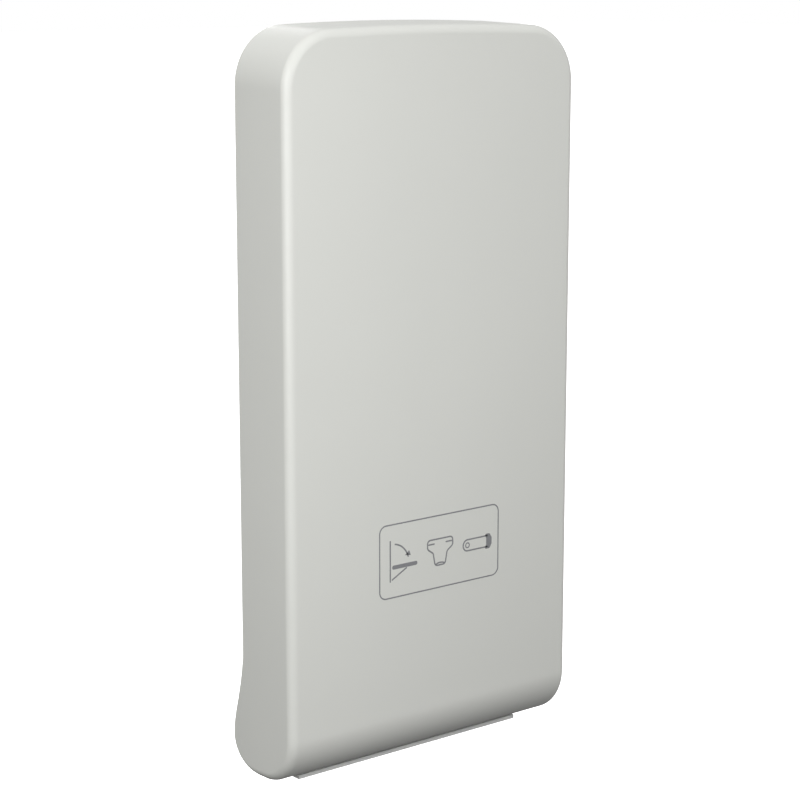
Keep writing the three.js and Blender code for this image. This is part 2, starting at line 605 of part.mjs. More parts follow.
// Safety strap halves across the tray, their anchors, and the buckle.
const lift = (x) => 1.6 + 2.8 * smooth((135 - Math.abs(x)) / 55);
function strapBody(x0, x1, n) {
  const low = [],
    high = [];
  for (let i = 0; i <= n; i++) {
    const x = x0 + ((x1 - x0) * i) / n;
    const e = 0.5;
    const slope = (trayY(x + e, STRAP_Z) - trayY(x - e, STRAP_Z)) / (2 * e);
    const l = Math.hypot(1, slope);
    const nrm = [-slope / l, 1 / l];
    const y = trayY(x, STRAP_Z);
    low.push([x + nrm[0] * lift(x), y + nrm[1] * lift(x)]);
    high.push([x + nrm[0] * (lift(x) + STRAP_T), y + nrm[1] * (lift(x) + STRAP_T)]);
  }
  return prismZ([...low, ...high.reverse()], STRAP_Z - STRAP_HALF, STRAP_Z + STRAP_HALF);
}
put("strap_left", strapBody(-181, -40.4, 18), "webbing");
put("strap_right", strapBody(12, 181, 20), "webbing");
// Each anchor is a bar over the strap's end, with two feet set into the tray's side.
for (const [side, s] of SIDES) {
  const x = 184 * s,
    y = trayY(x, STRAP_Z);
  const turn = Math.atan(trayY(x + 0.5, STRAP_Z) - trayY(x - 0.5, STRAP_Z));
  let anchor = prismZ(roundRect(-5, 5, 3.0, 5.4, 1, 2), -STRAP_HALF - 4, STRAP_HALF + 4);
  for (const e of [-1, 1]) {
    const [a, b] = span(e, STRAP_HALF + 0.6, STRAP_HALF + 3.4);
    anchor = anchor.add(prismZ([[-1.6, -3.5], [1.6, -3.5], [1.6, 3.2], [-1.6, 3.2]], a, b));
    const seat = [[-2.1, -7], [2.1, -7], [2.1, 3.6], [-2.1, 3.6]].map(([p, q]) => [
      x + p * Math.cos(turn) - q * Math.sin(turn),
      y + p * Math.sin(turn) + q * Math.cos(turn),
    ]);
    tray = tray.subtract(prismZ(seat, STRAP_Z + a - 0.5, STRAP_Z + b + 0.5));
  }
  const place = new THREE.Group();
  place.position.set(x, y, STRAP_Z);
  place.rotation.z = turn;
  part.add(place);
  put("strap_anchor_" + side, anchor, "black", place);
}
put("bed_tray", tray, "tray");

let socket = prismY(roundRect(-40, 0, STRAP_Z - 25, STRAP_Z + 25, 7, 4), -103, -90.2)
  .subtract(box(-32, 5, -97.7, -92.2, STRAP_Z - 20, STRAP_Z + 20));
put("buckle_socket", socket, "black");
// The tongue's prongs sit above the webbing, which runs on through the tunnel below them.
let tongue = prismY(roundRect(0.5, 31, STRAP_Z - 25, STRAP_Z + 25, 6, 4), -103, -91.2)
  .subtract(box(-5, 40, -100.9, -97.4, STRAP_Z - 20.5, STRAP_Z + 20.5))
  .add(box(-25, 4, -97.2, -92.7, STRAP_Z - 18.5, STRAP_Z - 12))
  .add(box(-25, 4, -97.2, -92.7, STRAP_Z + 12, STRAP_Z + 18.5))
  .add(box(-18, 4, -97.2, -92.7, STRAP_Z - 3, STRAP_Z + 3));
put("buckle_tongue", tongue, "black");

export default part;
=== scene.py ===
"""Looks of a vertical fold-down baby changing station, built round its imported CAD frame.

Lengths in the shape code are millimetres in the row frame: +Z up, +Y into the wall, origin at the
centre of the wall plate's back face. The bed's front face looks along -Y.
"""

import math

import bmesh
import bpy
import numpy as np
from mathutils import Matrix, Vector
from mathutils.geometry import convex_hull_2d, tessellate_polygon


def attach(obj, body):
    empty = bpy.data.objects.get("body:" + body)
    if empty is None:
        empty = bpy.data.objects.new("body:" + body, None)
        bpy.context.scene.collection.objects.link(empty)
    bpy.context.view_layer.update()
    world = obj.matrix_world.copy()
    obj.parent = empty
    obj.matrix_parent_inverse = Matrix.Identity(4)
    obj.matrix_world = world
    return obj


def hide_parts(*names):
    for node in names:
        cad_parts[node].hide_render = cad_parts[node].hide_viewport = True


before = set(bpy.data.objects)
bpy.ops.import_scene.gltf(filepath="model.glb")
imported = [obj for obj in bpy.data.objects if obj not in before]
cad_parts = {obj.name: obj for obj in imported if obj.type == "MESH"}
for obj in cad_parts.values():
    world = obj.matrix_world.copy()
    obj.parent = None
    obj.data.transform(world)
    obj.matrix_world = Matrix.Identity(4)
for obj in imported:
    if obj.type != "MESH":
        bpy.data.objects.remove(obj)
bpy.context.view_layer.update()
scene = bpy.context.scene
MM = 0.001
rad = math.radians

# ------------------------------------------------------------------ dimensions of the CAD frame
BED_W, BED_TOP, CROWN, TOP_FALL = 440.0, 447.0, 6.0, 3.4
FRONT_Y, RIM_Y, EDGE_R, TOP_R, SKIN, SPLIT_Z = -137.0, -40.0, 11.0, 68.0, 4.0, -300.0
HINGE_Y, HINGE_Z, FOOT_R, FOOT_LIP_Y = -75.0, -384.0, 62.0, -61.0
PLATE_HALF, PLATE_T, PLATE_TOP, TAB_HALF, TAB_TOP = 174.5, 2.5, 402.0, 125.0, 441.0
LIP_FRONT, LIP_TOP, LIP_BOTTOM = -88.0, -448.0, -453.0
PANEL_HALF, PANEL_FRONT, PANEL_BOTTOM, PANEL_TOP, PANEL_T = 170.0, -55.0, -262.0, 345.0, 3.0
TRAY_END, TRAY_T, TRAY_RIM, TRAY_RIM_LOW = -318.0, 4.0, -42.0, -58.0
TRAY_FLOOR, TRAY_DISH, TRAY_SLOPE = -101.0, 3.0, 62.0
STRUT_X, STRUT_TOP_Y, STRUT_TOP_Z, STRUT_ARM, STRUT_R, ROD_R, STRUT_BODY = 74.0, -16.0, -54.0, 40.0, 9.0, 4.0, 215.0
STRAP_Z, STRAP_HALF, STRAP_T = -20.0, 19.0, 1.6
LID_AXIS_Y, LID_AXIS_Z, GAP = -9.0, 352.0, 0.3
HALF = BED_W / 2
PB = -PLATE_T - GAP
SIDES = (("left", -1), ("right", 1))


def span(s, a, b):
    return (a, b) if s > 0 else (-b, -a)


def smooth(t):
    c = min(1.0, max(0.0, t))
    return c * c * c * (c * (c * 6 - 15) + 10)


# ------------------------------------------------------------------ outlines
def ring(a, b, r, n=48):
    return [(a + r * math.cos(2 * math.pi * (i + 0.5) / n), b + r * math.sin(2 * math.pi * (i + 0.5) / n)) for i in range(n)]


def round_rect(a0, a1, b0, b1, r, n=8):
    out = []
    for ca, cb, start in ((a1 - r, b1 - r, 0), (a0 + r, b1 - r, 90), (a0 + r, b0 + r, 180), (a1 - r, b0 + r, 270)):
        for i in range(n + 1):
            t = rad(start + 90 * i / n)
            out.append((ca + r * math.cos(t), cb + r * math.sin(t)))
    return out


def hull(points):
    return [points[i] for i in convex_hull_2d([Vector(p) for p in points])]


def area2(loop):
    return sum(loop[i - 1][0] * loop[i][1] - loop[i][0] * loop[i - 1][1] for i in range(len(loop)))


def turned(loop, ccw):
    return list(loop) if (area2(loop) > 0) == ccw else list(reversed(loop))


def rounded(loop, r, n=5):
    """Polygon with each corner rounded to radius r, or as much of it as its edges allow."""
    out = []
    k = len(loop)
    for i in range(k):
        p0, p, p1 = (Vector(loop[(i + j) % k]) for j in (-1, 0, 1))
        a, b = (p0 - p), (p1 - p)
        la, lb = a.length, b.length
        if la < 1e-6 or lb < 1e-6:
            continue
        a, b = a / la, b / lb
        half = math.acos(max(-1, min(1, a.dot(b)))) / 2
        if half > rad(88) or half < rad(2):
            out.append(tuple(p))
            continue
        d = min(r / math.tan(half), la * 0.48, lb * 0.48)
        q0, q1 = p + a * d, p + b * d
        for j in range(n + 1):
            t = j / n
            out.append(tuple(q0 * (1 - t) ** 2 + p * 2 * t * (1 - t) + q1 * t * t))
    return out


def inset(loop, d):
    """Loop moved to its left side by d, mitred."""
    n = len(loop)
    out = []
    for i in range(n):
        p0, p, p1 = loop[i - 1], loop[i], loop[(i + 1) % n]
        ax, ay, bx, by = p[0] - p0[0], p[1] - p0[1], p1[0] - p[0], p1[1] - p[1]
        la, lb = math.hypot(ax, ay) or 1, math.hypot(bx, by) or 1
        nx, ny, mx, my = -ay / la, ax / la, -by / lb, bx / lb
        k = max(0.35, 1 + nx * mx + ny * my)
        out.append((p[0] + d * (nx + mx) / k, p[1] + d * (ny + my) / k))
    return out


PUT = {"X": lambda u, v, w: (w, u, v), "Y": lambda u, v, w: (u, w, v), "Z": lambda u, v, w: (u, v, w)}


# ------------------------------------------------------------------ solids, as (points, faces)
def slab(axis, outline, w0, w1, holes=(), bevel=0.5, seg=3):
    """Outline with holes, from w0 to w1 along axis, every edge rounded by bevel."""
    bevel = min(bevel, 0.49 * (w1 - w0))
    loops = [turned(outline, True)] + [turned(h, False) for h in holes]
    if bevel > 0:
        ts = [rad(90 * j / seg) for j in range(seg + 1)]
        layers = [(bevel * (1 - math.sin(t)), w0 + bevel * (1 - math.cos(t))) for t in ts]
        layers += [(e, w1 - (w - w0)) for e, w in reversed(layers)]
    else:
        layers = [(0, w0), (0, w1)]
    pts, faces, caps = [], [], ([], [])
    to = PUT[axis]
    for loop in loops:
        base, n = len(pts), len(loop)
        for e, w in layers:
            pts += [to(u, v, w) for u, v in (inset(loop, e) if e > 1e-9 else loop)]
        for k in range(len(layers) - 1):
            for i in range(n):
                j = (i + 1) % n
                a, b = base + k * n, base + (k + 1) * n
                faces.append((a + i, a + j, b + j, b + i))
        caps[0].append([base + i for i in range(n)])
        caps[1].append([base + (len(layers) - 1) * n + i for i in range(n)])
    for cap in caps:
        if len(cap) == 1:
            faces.append(tuple(cap[0]))
        else:
            flat = [i for c in cap for i in c]
            drop = "XYZ".index(axis)
            loops3 = [[Vector([x for m, x in enumerate(pts[i]) if m != drop] + [0]) for i in c] for c in cap]
            faces += [tuple(flat[i] for i in t) for t in tessellate_polygon(loops3)]
    return pts, faces


def lathe(axis, centre, profile, n=48, closed=False):
    """Profile of (radius, place along axis), turned about the axis through centre."""
    pts, faces, rows = [], [], []
    to = PUT[axis]
    for r, w in profile:
        if r < 1e-6:
            rows.append([len(pts)])
            pts.append(to(centre[0], centre[1], w))
        else:
            rows.append(list(range(len(pts), len(pts) + n)))
            pts += [to(u, v, w) for u, v in ring(centre[0], centre[1], r, n)]
    pairs = list(zip(rows, rows[1:])) + ([(rows[-1], rows[0])] if closed else [])
    for a, b in pairs:
        for i in range(n):
            j = (i + 1) % n
            f = [a[i % len(a)], a[j % len(a)], b[j % len(b)], b[i % len(b)]]
            f = [x for k, x in enumerate(f) if x not in f[:k]]
            if len(f) > 2:
                faces.append(tuple(f))
    return pts, faces


def rod(axis, centre, r, w0, w1, c=0.6, n=48):
    q = [(c * (1 - math.cos(rad(22.5 * i))), c * (1 - math.sin(rad(22.5 * i)))) for i in range(5)]
    low = [(r - e, w0 + d) for d, e in q]
    high = [(r - e, w1 - d) for d, e in reversed(q)]
    return lathe(axis, centre, [(0, w0), *low, *high, (0, w1)], n)


def tube(axis, centre, r_in, r_out, w0, w1, c=0.5, n=48):
    q = [(c * (1 - math.cos(rad(30 * i))), c * (1 - math.sin(rad(30 * i)))) for i in range(4)]
    outer = [(r_out - e, w0 + d) for d, e in q] + [(r_out - e, w1 - d) for d, e in reversed(q)]
    inner = [(r_in + e, w1 - d) for d, e in q] + [(r_in + e, w0 + d) for d, e in reversed(q)]
    return lathe(axis, centre, outer + inner, n, closed=True)


class Shape:
    def __init__(self, *parts):
        self.pts, self.faces = [], []
        for p in parts:
            self.add(p)

    def add(self, part, matrix=None):
        base = len(self.pts)
        self.pts += [tuple(matrix @ Vector(p)) for p in part[0]] if matrix else list(part[0])
        self.faces += [tuple(i + base for i in f) for f in part[1]]
        return self


def mesh_of(name, shape):
    me = bpy.data.meshes.new(name)
    me.from_pydata([(x * MM, y * MM, z * MM) for x, y, z in shape.pts], [], shape.faces)
    bm = bmesh.new()
    bm.from_mesh(me)
    bmesh.ops.remove_doubles(bm, verts=bm.verts, dist=1e-7)
    bmesh.ops.recalc_face_normals(bm, faces=bm.faces)
    bm.to_mesh(me)
    bm.free()
    return me


def object_of(name, shape):
    ob = bpy.data.objects.new(name, mesh_of(name, shape))
    scene.collection.objects.link(ob)
    return ob


def cut(ob, shape, operation="DIFFERENCE"):
    """ob with shape cut away from it, or joined to it."""
    tool = object_of(ob.name + "_tool", shape)
    m = ob.modifiers.new("cut", "BOOLEAN")
    m.object, m.operation, m.solver = tool, operation, "EXACT"
    bpy.context.view_layer.update()
    made = bpy.data.meshes.new_from_object(ob.evaluated_get(bpy.context.evaluated_depsgraph_get()))
    ob.modifiers.clear()
    old, ob.data = ob.data, made
    bpy.data.meshes.remove(old)
    old = tool.data
    bpy.data.objects.remove(tool)
    bpy.data.meshes.remove(old)
    return ob


def finish_piece(ob, body, nodes, slot, mat, sharp=38, bevel=0.0, bevel_angle=50, seg=2):
    me = ob.data
    me.materials.clear()
    me.materials.append(mat)
    me.polygons.foreach_set("use_smooth", [True] * len(me.polygons))
    me.polygons.foreach_set("material_index", [0] * len(me.polygons))
    if bevel:
        m = ob.modifiers.new("edges", "BEVEL")
        m.width, m.segments, m.limit_method, m.angle_limit = bevel * MM, seg, "ANGLE", rad(bevel_angle)
        m.use_clamp_overlap = True
        m.miter_outer = "MITER_ARC"
    else:
        me.set_sharp_from_angle(angle=rad(sharp))
    m = ob.modifiers.new("normals", "WEIGHTED_NORMAL")
    m.mode, m.weight, m.keep_sharp = "FACE_AREA", 60, True
    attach(ob, body)
    if nodes:
        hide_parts(*nodes)
    return ob


def piece(name, shape, body, nodes, slot, mat, **kw):
    return finish_piece(object_of(name, shape), body, nodes, slot, mat, **kw)


# ------------------------------------------------------------------ materials
def srgb(r, g, b):
    return tuple((c / 12.92 if c <= 0.04045 else ((c + 0.055) / 1.055) ** 2.4) for c in (r / 255, g / 255, b / 255)) + (1.0,)


class Look:
    """Small helper round one Principled material."""

    def __init__(self, name, **inputs):
        self.mat = bpy.data.materials.new(name)
        self.mat.use_nodes = True
        self.nt = self.mat.node_tree
        self.nt.nodes.clear()
        out = self.nt.nodes.new("ShaderNodeOutputMaterial")
        self.bsdf = self.nt.nodes.new("ShaderNodeBsdfPrincipled")
        self.nt.links.new(self.bsdf.outputs[0], out.inputs[0])
        self.coord = self.nt.nodes.new("ShaderNodeTexCoord").outputs["Object"]
        self.height = None
        for k, v in inputs.items():
            self.bsdf.inputs[k.replace("_", " ")].default_value = v

    def node(self, kind, links=(), **props):
        n = self.nt.nodes.new(kind)
        for k, v in props.items():
            setattr(n, k, v)
        for key, value in links:
            if isinstance(value, bpy.types.NodeSocket):
                self.nt.links.new(value, n.inputs[key])
            else:
                n.inputs[key].default_value = value
        return n

    def stretched(self, sx, sy, sz, coord=None):
        return self.node("ShaderNodeMapping", [("Vector", coord or self.coord), ("Scale", (sx, sy, sz))]).outputs[0]

    def noise(self, scale, detail=2.0, rough=0.5, coord=None, distortion=0.0):
        n = self.node("ShaderNodeTexNoise", [("Vector", coord or self.coord), ("Scale", scale), ("Detail", detail), ("Roughness", rough), ("Distortion", distortion)])
        return n.outputs["Fac"]

    def voronoi(self, scale, feature="F1", coord=None):
        n = self.node("ShaderNodeTexVoronoi", [("Vector", coord or self.coord), ("Scale", scale)], feature=feature)
        return n.outputs["Distance"]

    def ramp(self, fac, stops, interpolation="LINEAR"):
        n = self.node("ShaderNodeValToRGB", [("Fac", fac)])
        n.color_ramp.interpolation = interpolation
        els = n.color_ramp.elements
        while len(els) > 1:
            els.remove(els[-1])
        els[0].position, els[0].color = stops[0]
        for p, c in stops[1:]:
            els.new(p).color = c
        return n.outputs["Color"]

    def span(self, fac, low, high, f0=0.0, f1=1.0):
        n = self.node("ShaderNodeMapRange", [("Value", fac), ("From Min", f0), ("From Max", f1), ("To Min", low), ("To Max", high)])
        return n.outputs[0]

    def maths(self, op, a, b=None):
        links = [(0, a)] + ([(1, b)] if b is not None else [])
        return self.node("ShaderNodeMath", links, operation=op).outputs[0]

    def mix(self, fac, a, b, blend="MIX"):
        n = self.node("ShaderNodeMix", data_type="RGBA", blend_type=blend)
        for sock, value in ((n.inputs[0], fac), (n.inputs[6], a), (n.inputs[7], b)):
            if isinstance(value, bpy.types.NodeSocket):
                self.nt.links.new(value, sock)
            else:
                sock.default_value = value
        return n.outputs[2]

    def colour(self, socket):
        self.nt.links.new(socket, self.bsdf.inputs["Base Color"])

    def roughness(self, socket):
        self.nt.links.new(socket, self.bsdf.inputs["Roughness"])

    def bump(self, height, strength, distance_mm):
        links = [("Height", height), ("Strength", strength), ("Distance", distance_mm * MM)]
        if self.height is not None:
            links.append(("Normal", self.height))
        self.height = self.node("ShaderNodeBump", links).outputs[0]
        self.nt.links.new(self.height, self.bsdf.inputs["Normal"])

    def pointiness(self, low, high):
        g = self.node("ShaderNodeNewGeometry")
        return self.span(g.outputs["Pointiness"], 0.0, 1.0, low, high)


def tone(rgb, k):
    return tuple(min(1.0, c * k) for c in rgb[:3]) + (1.0,)


def moulded_plastic(name, rgb, rough, grain_mm, grain, specular=0.5, drift=0.02, wear_and_highlight=0.5):
    """Moulded plastic: spark-eroded grain, slow colour drift, gloss that varies with the flow, and edges that are
    glossier and lighter, the lighter colour being part wear and part painted edge highlight.
    """
    lk = Look(name, Specular_IOR_Level=specular)
    slow = lk.noise(2.6, 3.0, 0.55)
    col = lk.ramp(slow, [(0.3, tone(rgb, 1 - drift)), (0.7, tone(rgb, 1 + drift))])
    speck = lk.noise(1 / (grain_mm * 2.4 * MM), 2.0, 0.6)
    col = lk.mix(lk.span(speck, 0.0, 0.05, 0.55, 0.75), col, tone(rgb, 0.9))
    # Edge mask from pointiness: it lightens the colour at edges as part wear and part painted highlight, and lowers the
    # roughness there.
    edge = lk.maths("MULTIPLY", lk.pointiness(0.53, 0.62), lk.span(lk.noise(45, 3, 0.6), 0.2, 1.0, 0.35, 0.65))
    col = lk.mix(lk.maths("MULTIPLY", edge, 0.22 * wear_and_highlight), col, tone(rgb, 1.16))
    lk.colour(col)
    patch = lk.noise(14, 4, 0.6)
    fine = lk.noise(260, 2, 0.5)
    r = lk.maths("ADD", lk.span(patch, rough - 0.045, rough + 0.045, 0.3, 0.7), lk.span(fine, -0.03, 0.03, 0.3, 0.7))
    lk.roughness(lk.maths("SUBTRACT", r, lk.maths("MULTIPLY", edge, 0.08 * wear_and_highlight)))
    lk.bump(lk.noise(1 / (grain_mm * MM), 3.0, 0.6), grain, 0.12)
    lk.bump(lk.noise(6.5, 1.0, 0.4), 0.05, 1.2)
    return lk.mat


def powder_coat(name, rgb, rough=0.5):
    lk = Look(name, Specular_IOR_Level=0.5, Metallic=0.0)
    lk.colour(lk.mix(lk.maths("MULTIPLY", lk.pointiness(0.54, 0.64), lk.span(lk.noise(90, 4, 0.65), 0.0, 1.0, 0.42, 0.6)),
                     lk.ramp(lk.noise(5, 3, 0.6), [(0.3, tone(rgb, 0.96)), (0.7, tone(rgb, 1.04))]), srgb(233, 234, 234)))
    lk.roughness(lk.span(lk.noise(60, 4, 0.6), rough - 0.08, rough + 0.1, 0.3, 0.7))
    lk.bump(lk.noise(520, 2, 0.5), 0.22, 0.15)
    return lk.mat


def zinc_steel(name, rgb=(150, 153, 156), rough=0.33, along=(1, 1, 1)):
    """Zinc-plated steel: mottled plating, drawn streaks, small scratches, and edges brightened from pointiness as part
    worn plating and part painted highlight.
    """
    base = srgb(*rgb)
    lk = Look(name, Metallic=1.0)
    streak = lk.noise(420, 3, 0.6, lk.stretched(*along))
    mottle = lk.noise(60, 4, 0.65)
    col = lk.ramp(mottle, [(0.25, tone(base, 0.86)), (0.55, base), (0.8, tone(base, 1.1))])
    col = lk.mix(lk.span(streak, 0.0, 0.3, 0.45, 0.75), col, tone(base, 0.75))
    # Brighter edges from pointiness: part worn plating, part painted highlight.
    col = lk.mix(lk.maths("MULTIPLY", lk.pointiness(0.53, 0.63), 0.5), col, tone(base, 1.4))
    lk.colour(col)
    lk.roughness(lk.maths("ADD", lk.span(streak, rough - 0.08, rough + 0.12, 0.3, 0.7), lk.span(mottle, -0.05, 0.05, 0.3, 0.7)))
    lk.bump(streak, 0.12, 0.05)
    return lk.mat


def chrome_rod(name):
    lk = Look(name, Metallic=1.0)
    base = srgb(205, 207, 210)
    turning = lk.noise(900, 2, 0.5, lk.stretched(0.15, 0.15, 1.0))
    haze = lk.noise(25, 3, 0.6)
    lk.colour(lk.ramp(haze, [(0.3, tone(base, 0.94)), (0.7, tone(base, 1.04))]))
    lk.roughness(lk.maths("ADD", lk.span(turning, 0.06, 0.16, 0.3, 0.7), lk.span(haze, 0.0, 0.05, 0.35, 0.7)))
    lk.bump(turning, 0.05, 0.02)
    return lk.mat


def black_paint(name):
    lk = Look(name, Specular_IOR_Level=0.5, Coat_Weight=0.15, Coat_Roughness=0.25)
    base = srgb(38, 39, 41)
    dust = lk.noise(30, 5, 0.7)
    col = lk.ramp(dust, [(0.35, base), (0.75, srgb(52, 53, 55))])
    # Lighter grey at edges from pointiness: part worn paint, part painted highlight.
    lk.colour(lk.mix(lk.maths("MULTIPLY", lk.pointiness(0.54, 0.64), 0.5), col, srgb(96, 97, 99)))
    lk.roughness(lk.span(dust, 0.28, 0.46, 0.3, 0.75))
    lk.bump(lk.noise(380, 2, 0.5), 0.12, 0.08)
    return lk.mat


def rubber_look(name):
    lk = Look(name, Specular_IOR_Level=0.35)
    speck = lk.noise(900, 3, 0.65)
    lk.colour(lk.ramp(speck, [(0.3, srgb(34, 34, 35)), (0.6, srgb(44, 44, 45)), (0.85, srgb(60, 60, 60))]))
    lk.roughness(lk.span(lk.noise(70, 4, 0.6), 0.68, 0.9, 0.3, 0.7))
    lk.bump(speck, 0.3, 0.08)
    return lk.mat


def nylon_look(name):
    lk = Look(name, Specular_IOR_Level=0.5, Subsurface_Weight=0.15, Subsurface_Scale=0.002)
    slow = lk.noise(80, 3, 0.6)
    lk.colour(lk.ramp(slow, [(0.3, srgb(214, 210, 198)), (0.7, srgb(232, 229, 218))]))
    lk.roughness(lk.span(slow, 0.34, 0.5, 0.3, 0.7))
    lk.bump(lk.noise(1400, 2, 0.5), 0.1, 0.05)
    return lk.mat


def webbing_look(name):
    """Woven polyester webbing: fine ribs across, a herringbone of warp yarns along, fuzzy colour, soft sheen."""
    lk = Look(name, Specular_IOR_Level=0.25, Sheen_Weight=0.35, Sheen_Roughness=0.4)
    uv = lk.node("ShaderNodeUVMap", uv_map="weave").outputs[0]
    sep = lk.node("ShaderNodeSeparateXYZ", [("Vector", uv)])
    along, across = sep.outputs["X"], sep.outputs["Y"]
    cols = lk.maths("DIVIDE", across, 1.35)
    col_i = lk.maths("FLOOR", cols)
    parity = lk.maths("MULTIPLY", lk.maths("MODULO", lk.maths("ADD", col_i, 100.0), 2.0), 0.5)
    rows = lk.maths("ADD", lk.maths("DIVIDE", along, 2.1), parity)
    pick = lk.maths("ABSOLUTE", lk.maths("SINE", lk.maths("MULTIPLY", rows, math.pi)))
    yarn = lk.maths("ABSOLUTE", lk.maths("SINE", lk.maths("MULTIPLY", cols, math.pi)))
    weave = lk.maths("MULTIPLY", lk.maths("POWER", pick, 0.6), lk.maths("POWER", yarn, 0.6))
    fuzz = lk.noise(2200, 3, 0.7)
    dirt = lk.noise(35, 4, 0.6)
    base = lk.ramp(weave, [(0.1, srgb(34, 38, 43)), (0.6, srgb(60, 67, 74)), (1.0, srgb(78, 85, 92))])
    base = lk.mix(lk.span(fuzz, 0.0, 0.35, 0.45, 0.75), base, srgb(98, 104, 110))
    lk.colour(lk.mix(lk.span(dirt, 0.0, 0.25, 0.5, 0.8), base, srgb(46, 50, 55)))
    lk.roughness(lk.span(fuzz, 0.78, 0.95, 0.3, 0.7))
    lk.bump(weave, 0.9, 0.35)
    lk.bump(fuzz, 0.35, 0.1)
    return lk.mat


def thread_look(name):
    lk = Look(name, Specular_IOR_Level=0.3, Sheen_Weight=0.3)
    twist = lk.noise(1800, 2, 0.5, lk.stretched(1.0, 1.0, 0.35))
    lk.colour(lk.ramp(twist, [(0.3, srgb(120, 124, 128)), (0.7, srgb(164, 167, 170))]))
    lk.roughness(lk.span(twist, 0.55, 0.8, 0.3, 0.7))
    lk.bump(twist, 0.4, 0.1)
    return lk.mat


def ink_look(name):
    """Screen-printed grey ink: thin, slightly uneven, a little rubbed."""
    lk = Look(name, Specular_IOR_Level=0.45)
    rub = lk.noise(160, 5, 0.7)
    mesh = lk.noise(1500, 2, 0.6)
    col = lk.ramp(rub, [(0.3, srgb(124, 125, 128)), (0.62, srgb(133, 134, 137)), (0.85, srgb(150, 151, 152))])
    lk.colour(lk.mix(lk.span(mesh, 0.0, 0.25, 0.5, 0.8), col, srgb(158, 159, 159)))
    lk.roughness(lk.span(rub, 0.42, 0.6, 0.3, 0.7))
    lk.bump(mesh, 0.1, 0.03)
    return lk.mat


SHELL_RGB = srgb(214, 215, 210)
M_SHELL = moulded_plastic("shell_plastic", SHELL_RGB, 0.42, 0.55, 0.16, drift=0.012, wear_and_highlight=0.35)
M_TRAY = moulded_plastic("tray_plastic", srgb(204, 205, 200), 0.5, 0.9, 0.34, drift=0.015)
M_PANEL = moulded_plastic("panel_plastic", srgb(205, 206, 202), 0.46, 0.6, 0.2, drift=0.018)
M_PLATE = powder_coat("plate_paint", srgb(240, 240, 237))
M_STEEL = zinc_steel("zinc_steel", along=(1.0, 0.12, 0.12))
M_STEEL_X = zinc_steel("turned_steel", (162, 165, 168), 0.28, along=(0.06, 1.0, 1.0))
M_MAGNET = zinc_steel("nickel_magnet", (176, 176, 174), 0.22, along=(0.2, 1.0, 1.0))
M_CHROME = chrome_rod("rod_chrome")
M_STRUT = black_paint("strut_paint")
M_BLACK = moulded_plastic("black_plastic", srgb(40, 41, 43), 0.42, 0.5, 0.3, drift=0.06, wear_and_highlight=1.2)
M_RUBBER = rubber_look("rubber")
M_NYLON = nylon_look("nylon")
M_WEB = webbing_look("webbing")
M_THREAD = thread_look("thread")
M_INK = ink_look("print_ink")


# ------------------------------------------------------------------ bed shell
N_FIL, N_ARC, N_ROW = 12, 28, 48
FIL = [rad(90 * k / N_FIL) for k in range(N_FIL + 1)]


def front_outline(half, top, radius, e):
    cx = half - radius
    lean = math.atan(2 * CROWN * cx / HALF**2)
    stop = math.pi / 2 - lean
    join_x = cx + radius * math.cos(stop)
    cz = top - CROWN * (join_x / HALF) ** 2 - radius * math.sin(stop)
    r = radius - e
    right = [(half - e, SPLIT_Z)]
    right += [(cx + r * math.cos(stop * i / N_ARC), cz + r * math.sin(stop * i / N_ARC)) for i in range(N_ARC + 1)]
    last = right[-1][0]
    row = []
    for i in range(1, N_ROW):
        x = last * (1 - 2 * i / N_ROW)
        row.append((x, top - CROWN * (x / HALF) ** 2 - e))
    return right + row + [(-x, z) for x, z in reversed(right)]


def fall(y):
    """The top wall falls towards the front face."""
    return TOP_FALL * (RIM_Y - y) / (RIM_Y - FRONT_Y)


def shell_solid(half, front, back, top, radius, edge, profile):
    """Closed body: a dished front with rounded edges above the split line and a rounded foot below it."""
    pts, faces = [], []

    def push(row):
        pts.extend(row)
        return list(range(len(pts) - len(row), len(pts)))

    loops = []
    for d in FIL:
        e, y = edge * (1 - math.sin(d)), front + edge * (1 - math.cos(d))
        loops.append(push([(x, y, z) for x, z in front_outline(half, top - fall(y), radius, e)]))
    back_loop = push([(x, back, z) for x, z in front_outline(half, top - fall(back), radius, 0)])
    for a, b in zip(loops, loops[1:] + [back_loop]):
        faces += [(a[i], a[i + 1], b[i + 1], b[i]) for i in range(len(a) - 1)]
    faces.append(tuple(loops[0]))

    n = len(profile)
    inward = []
    for i in range(n):
        a, b = profile[(i - 1) % n], profile[(i + 1) % n]
        length = math.hypot(b[0] - a[0], b[1] - a[1])
        inward.append((-(b[1] - a[1]) / length, (b[0] - a[0]) / length))

    def section(x, d):
        row = []
        for i, (y, z, r) in enumerate(profile):
            s = 0 if d >= r else r - math.sqrt(r * r - (r - d) ** 2)
            nx, nz = (1, 0) if z == SPLIT_Z else inward[i]
            row.append((x, y + nx * s, z + nz * s))
        return push(row)

    right = [section(half - edge * (1 - math.sin(d)), edge * (1 - math.sin(d))) for d in FIL]
    left = [section(-half + edge * (1 - math.sin(d)), edge * (1 - math.sin(d))) for d in FIL]
    for a, b in [(left[0], right[0])] + list(zip(right, right[1:])) + list(zip(left, left[1:])):
        faces += [(a[i], a[i + 1], b[i + 1], b[i]) for i in range(n - 1)]
    faces += [tuple(right[-1]), tuple(left[-1])]
    rear = [s[-1] for s in left[:-1][::-1]] + [s[-1] for s in right[:-1]]
    faces.append(tuple(back_loop + rear))
    return pts, faces


SWELL = [
    (-64, -446, 10), (-55.5, -445.2, 8.5), (-46, -442.6, 7), (-37.5, -438.4, 6), (-30, -432.8, 4.8),
    (-23.6, -425.8, 3.8), (-19.2, -418, 3.2), (-17, -409.5, 2.8), (-16.5, -400.5, 2.5), (-17.6, -390.5, 2.5),
    (-19.8, -380, 2.5), (-22.8, -369.5, 2.5), (-26, -359, 2.2), (-29.2, -348.5, 1.8), (-32.1, -338, 1.4),
    (-34.9, -327, 0.9), (-37.4, -315, 0),
]


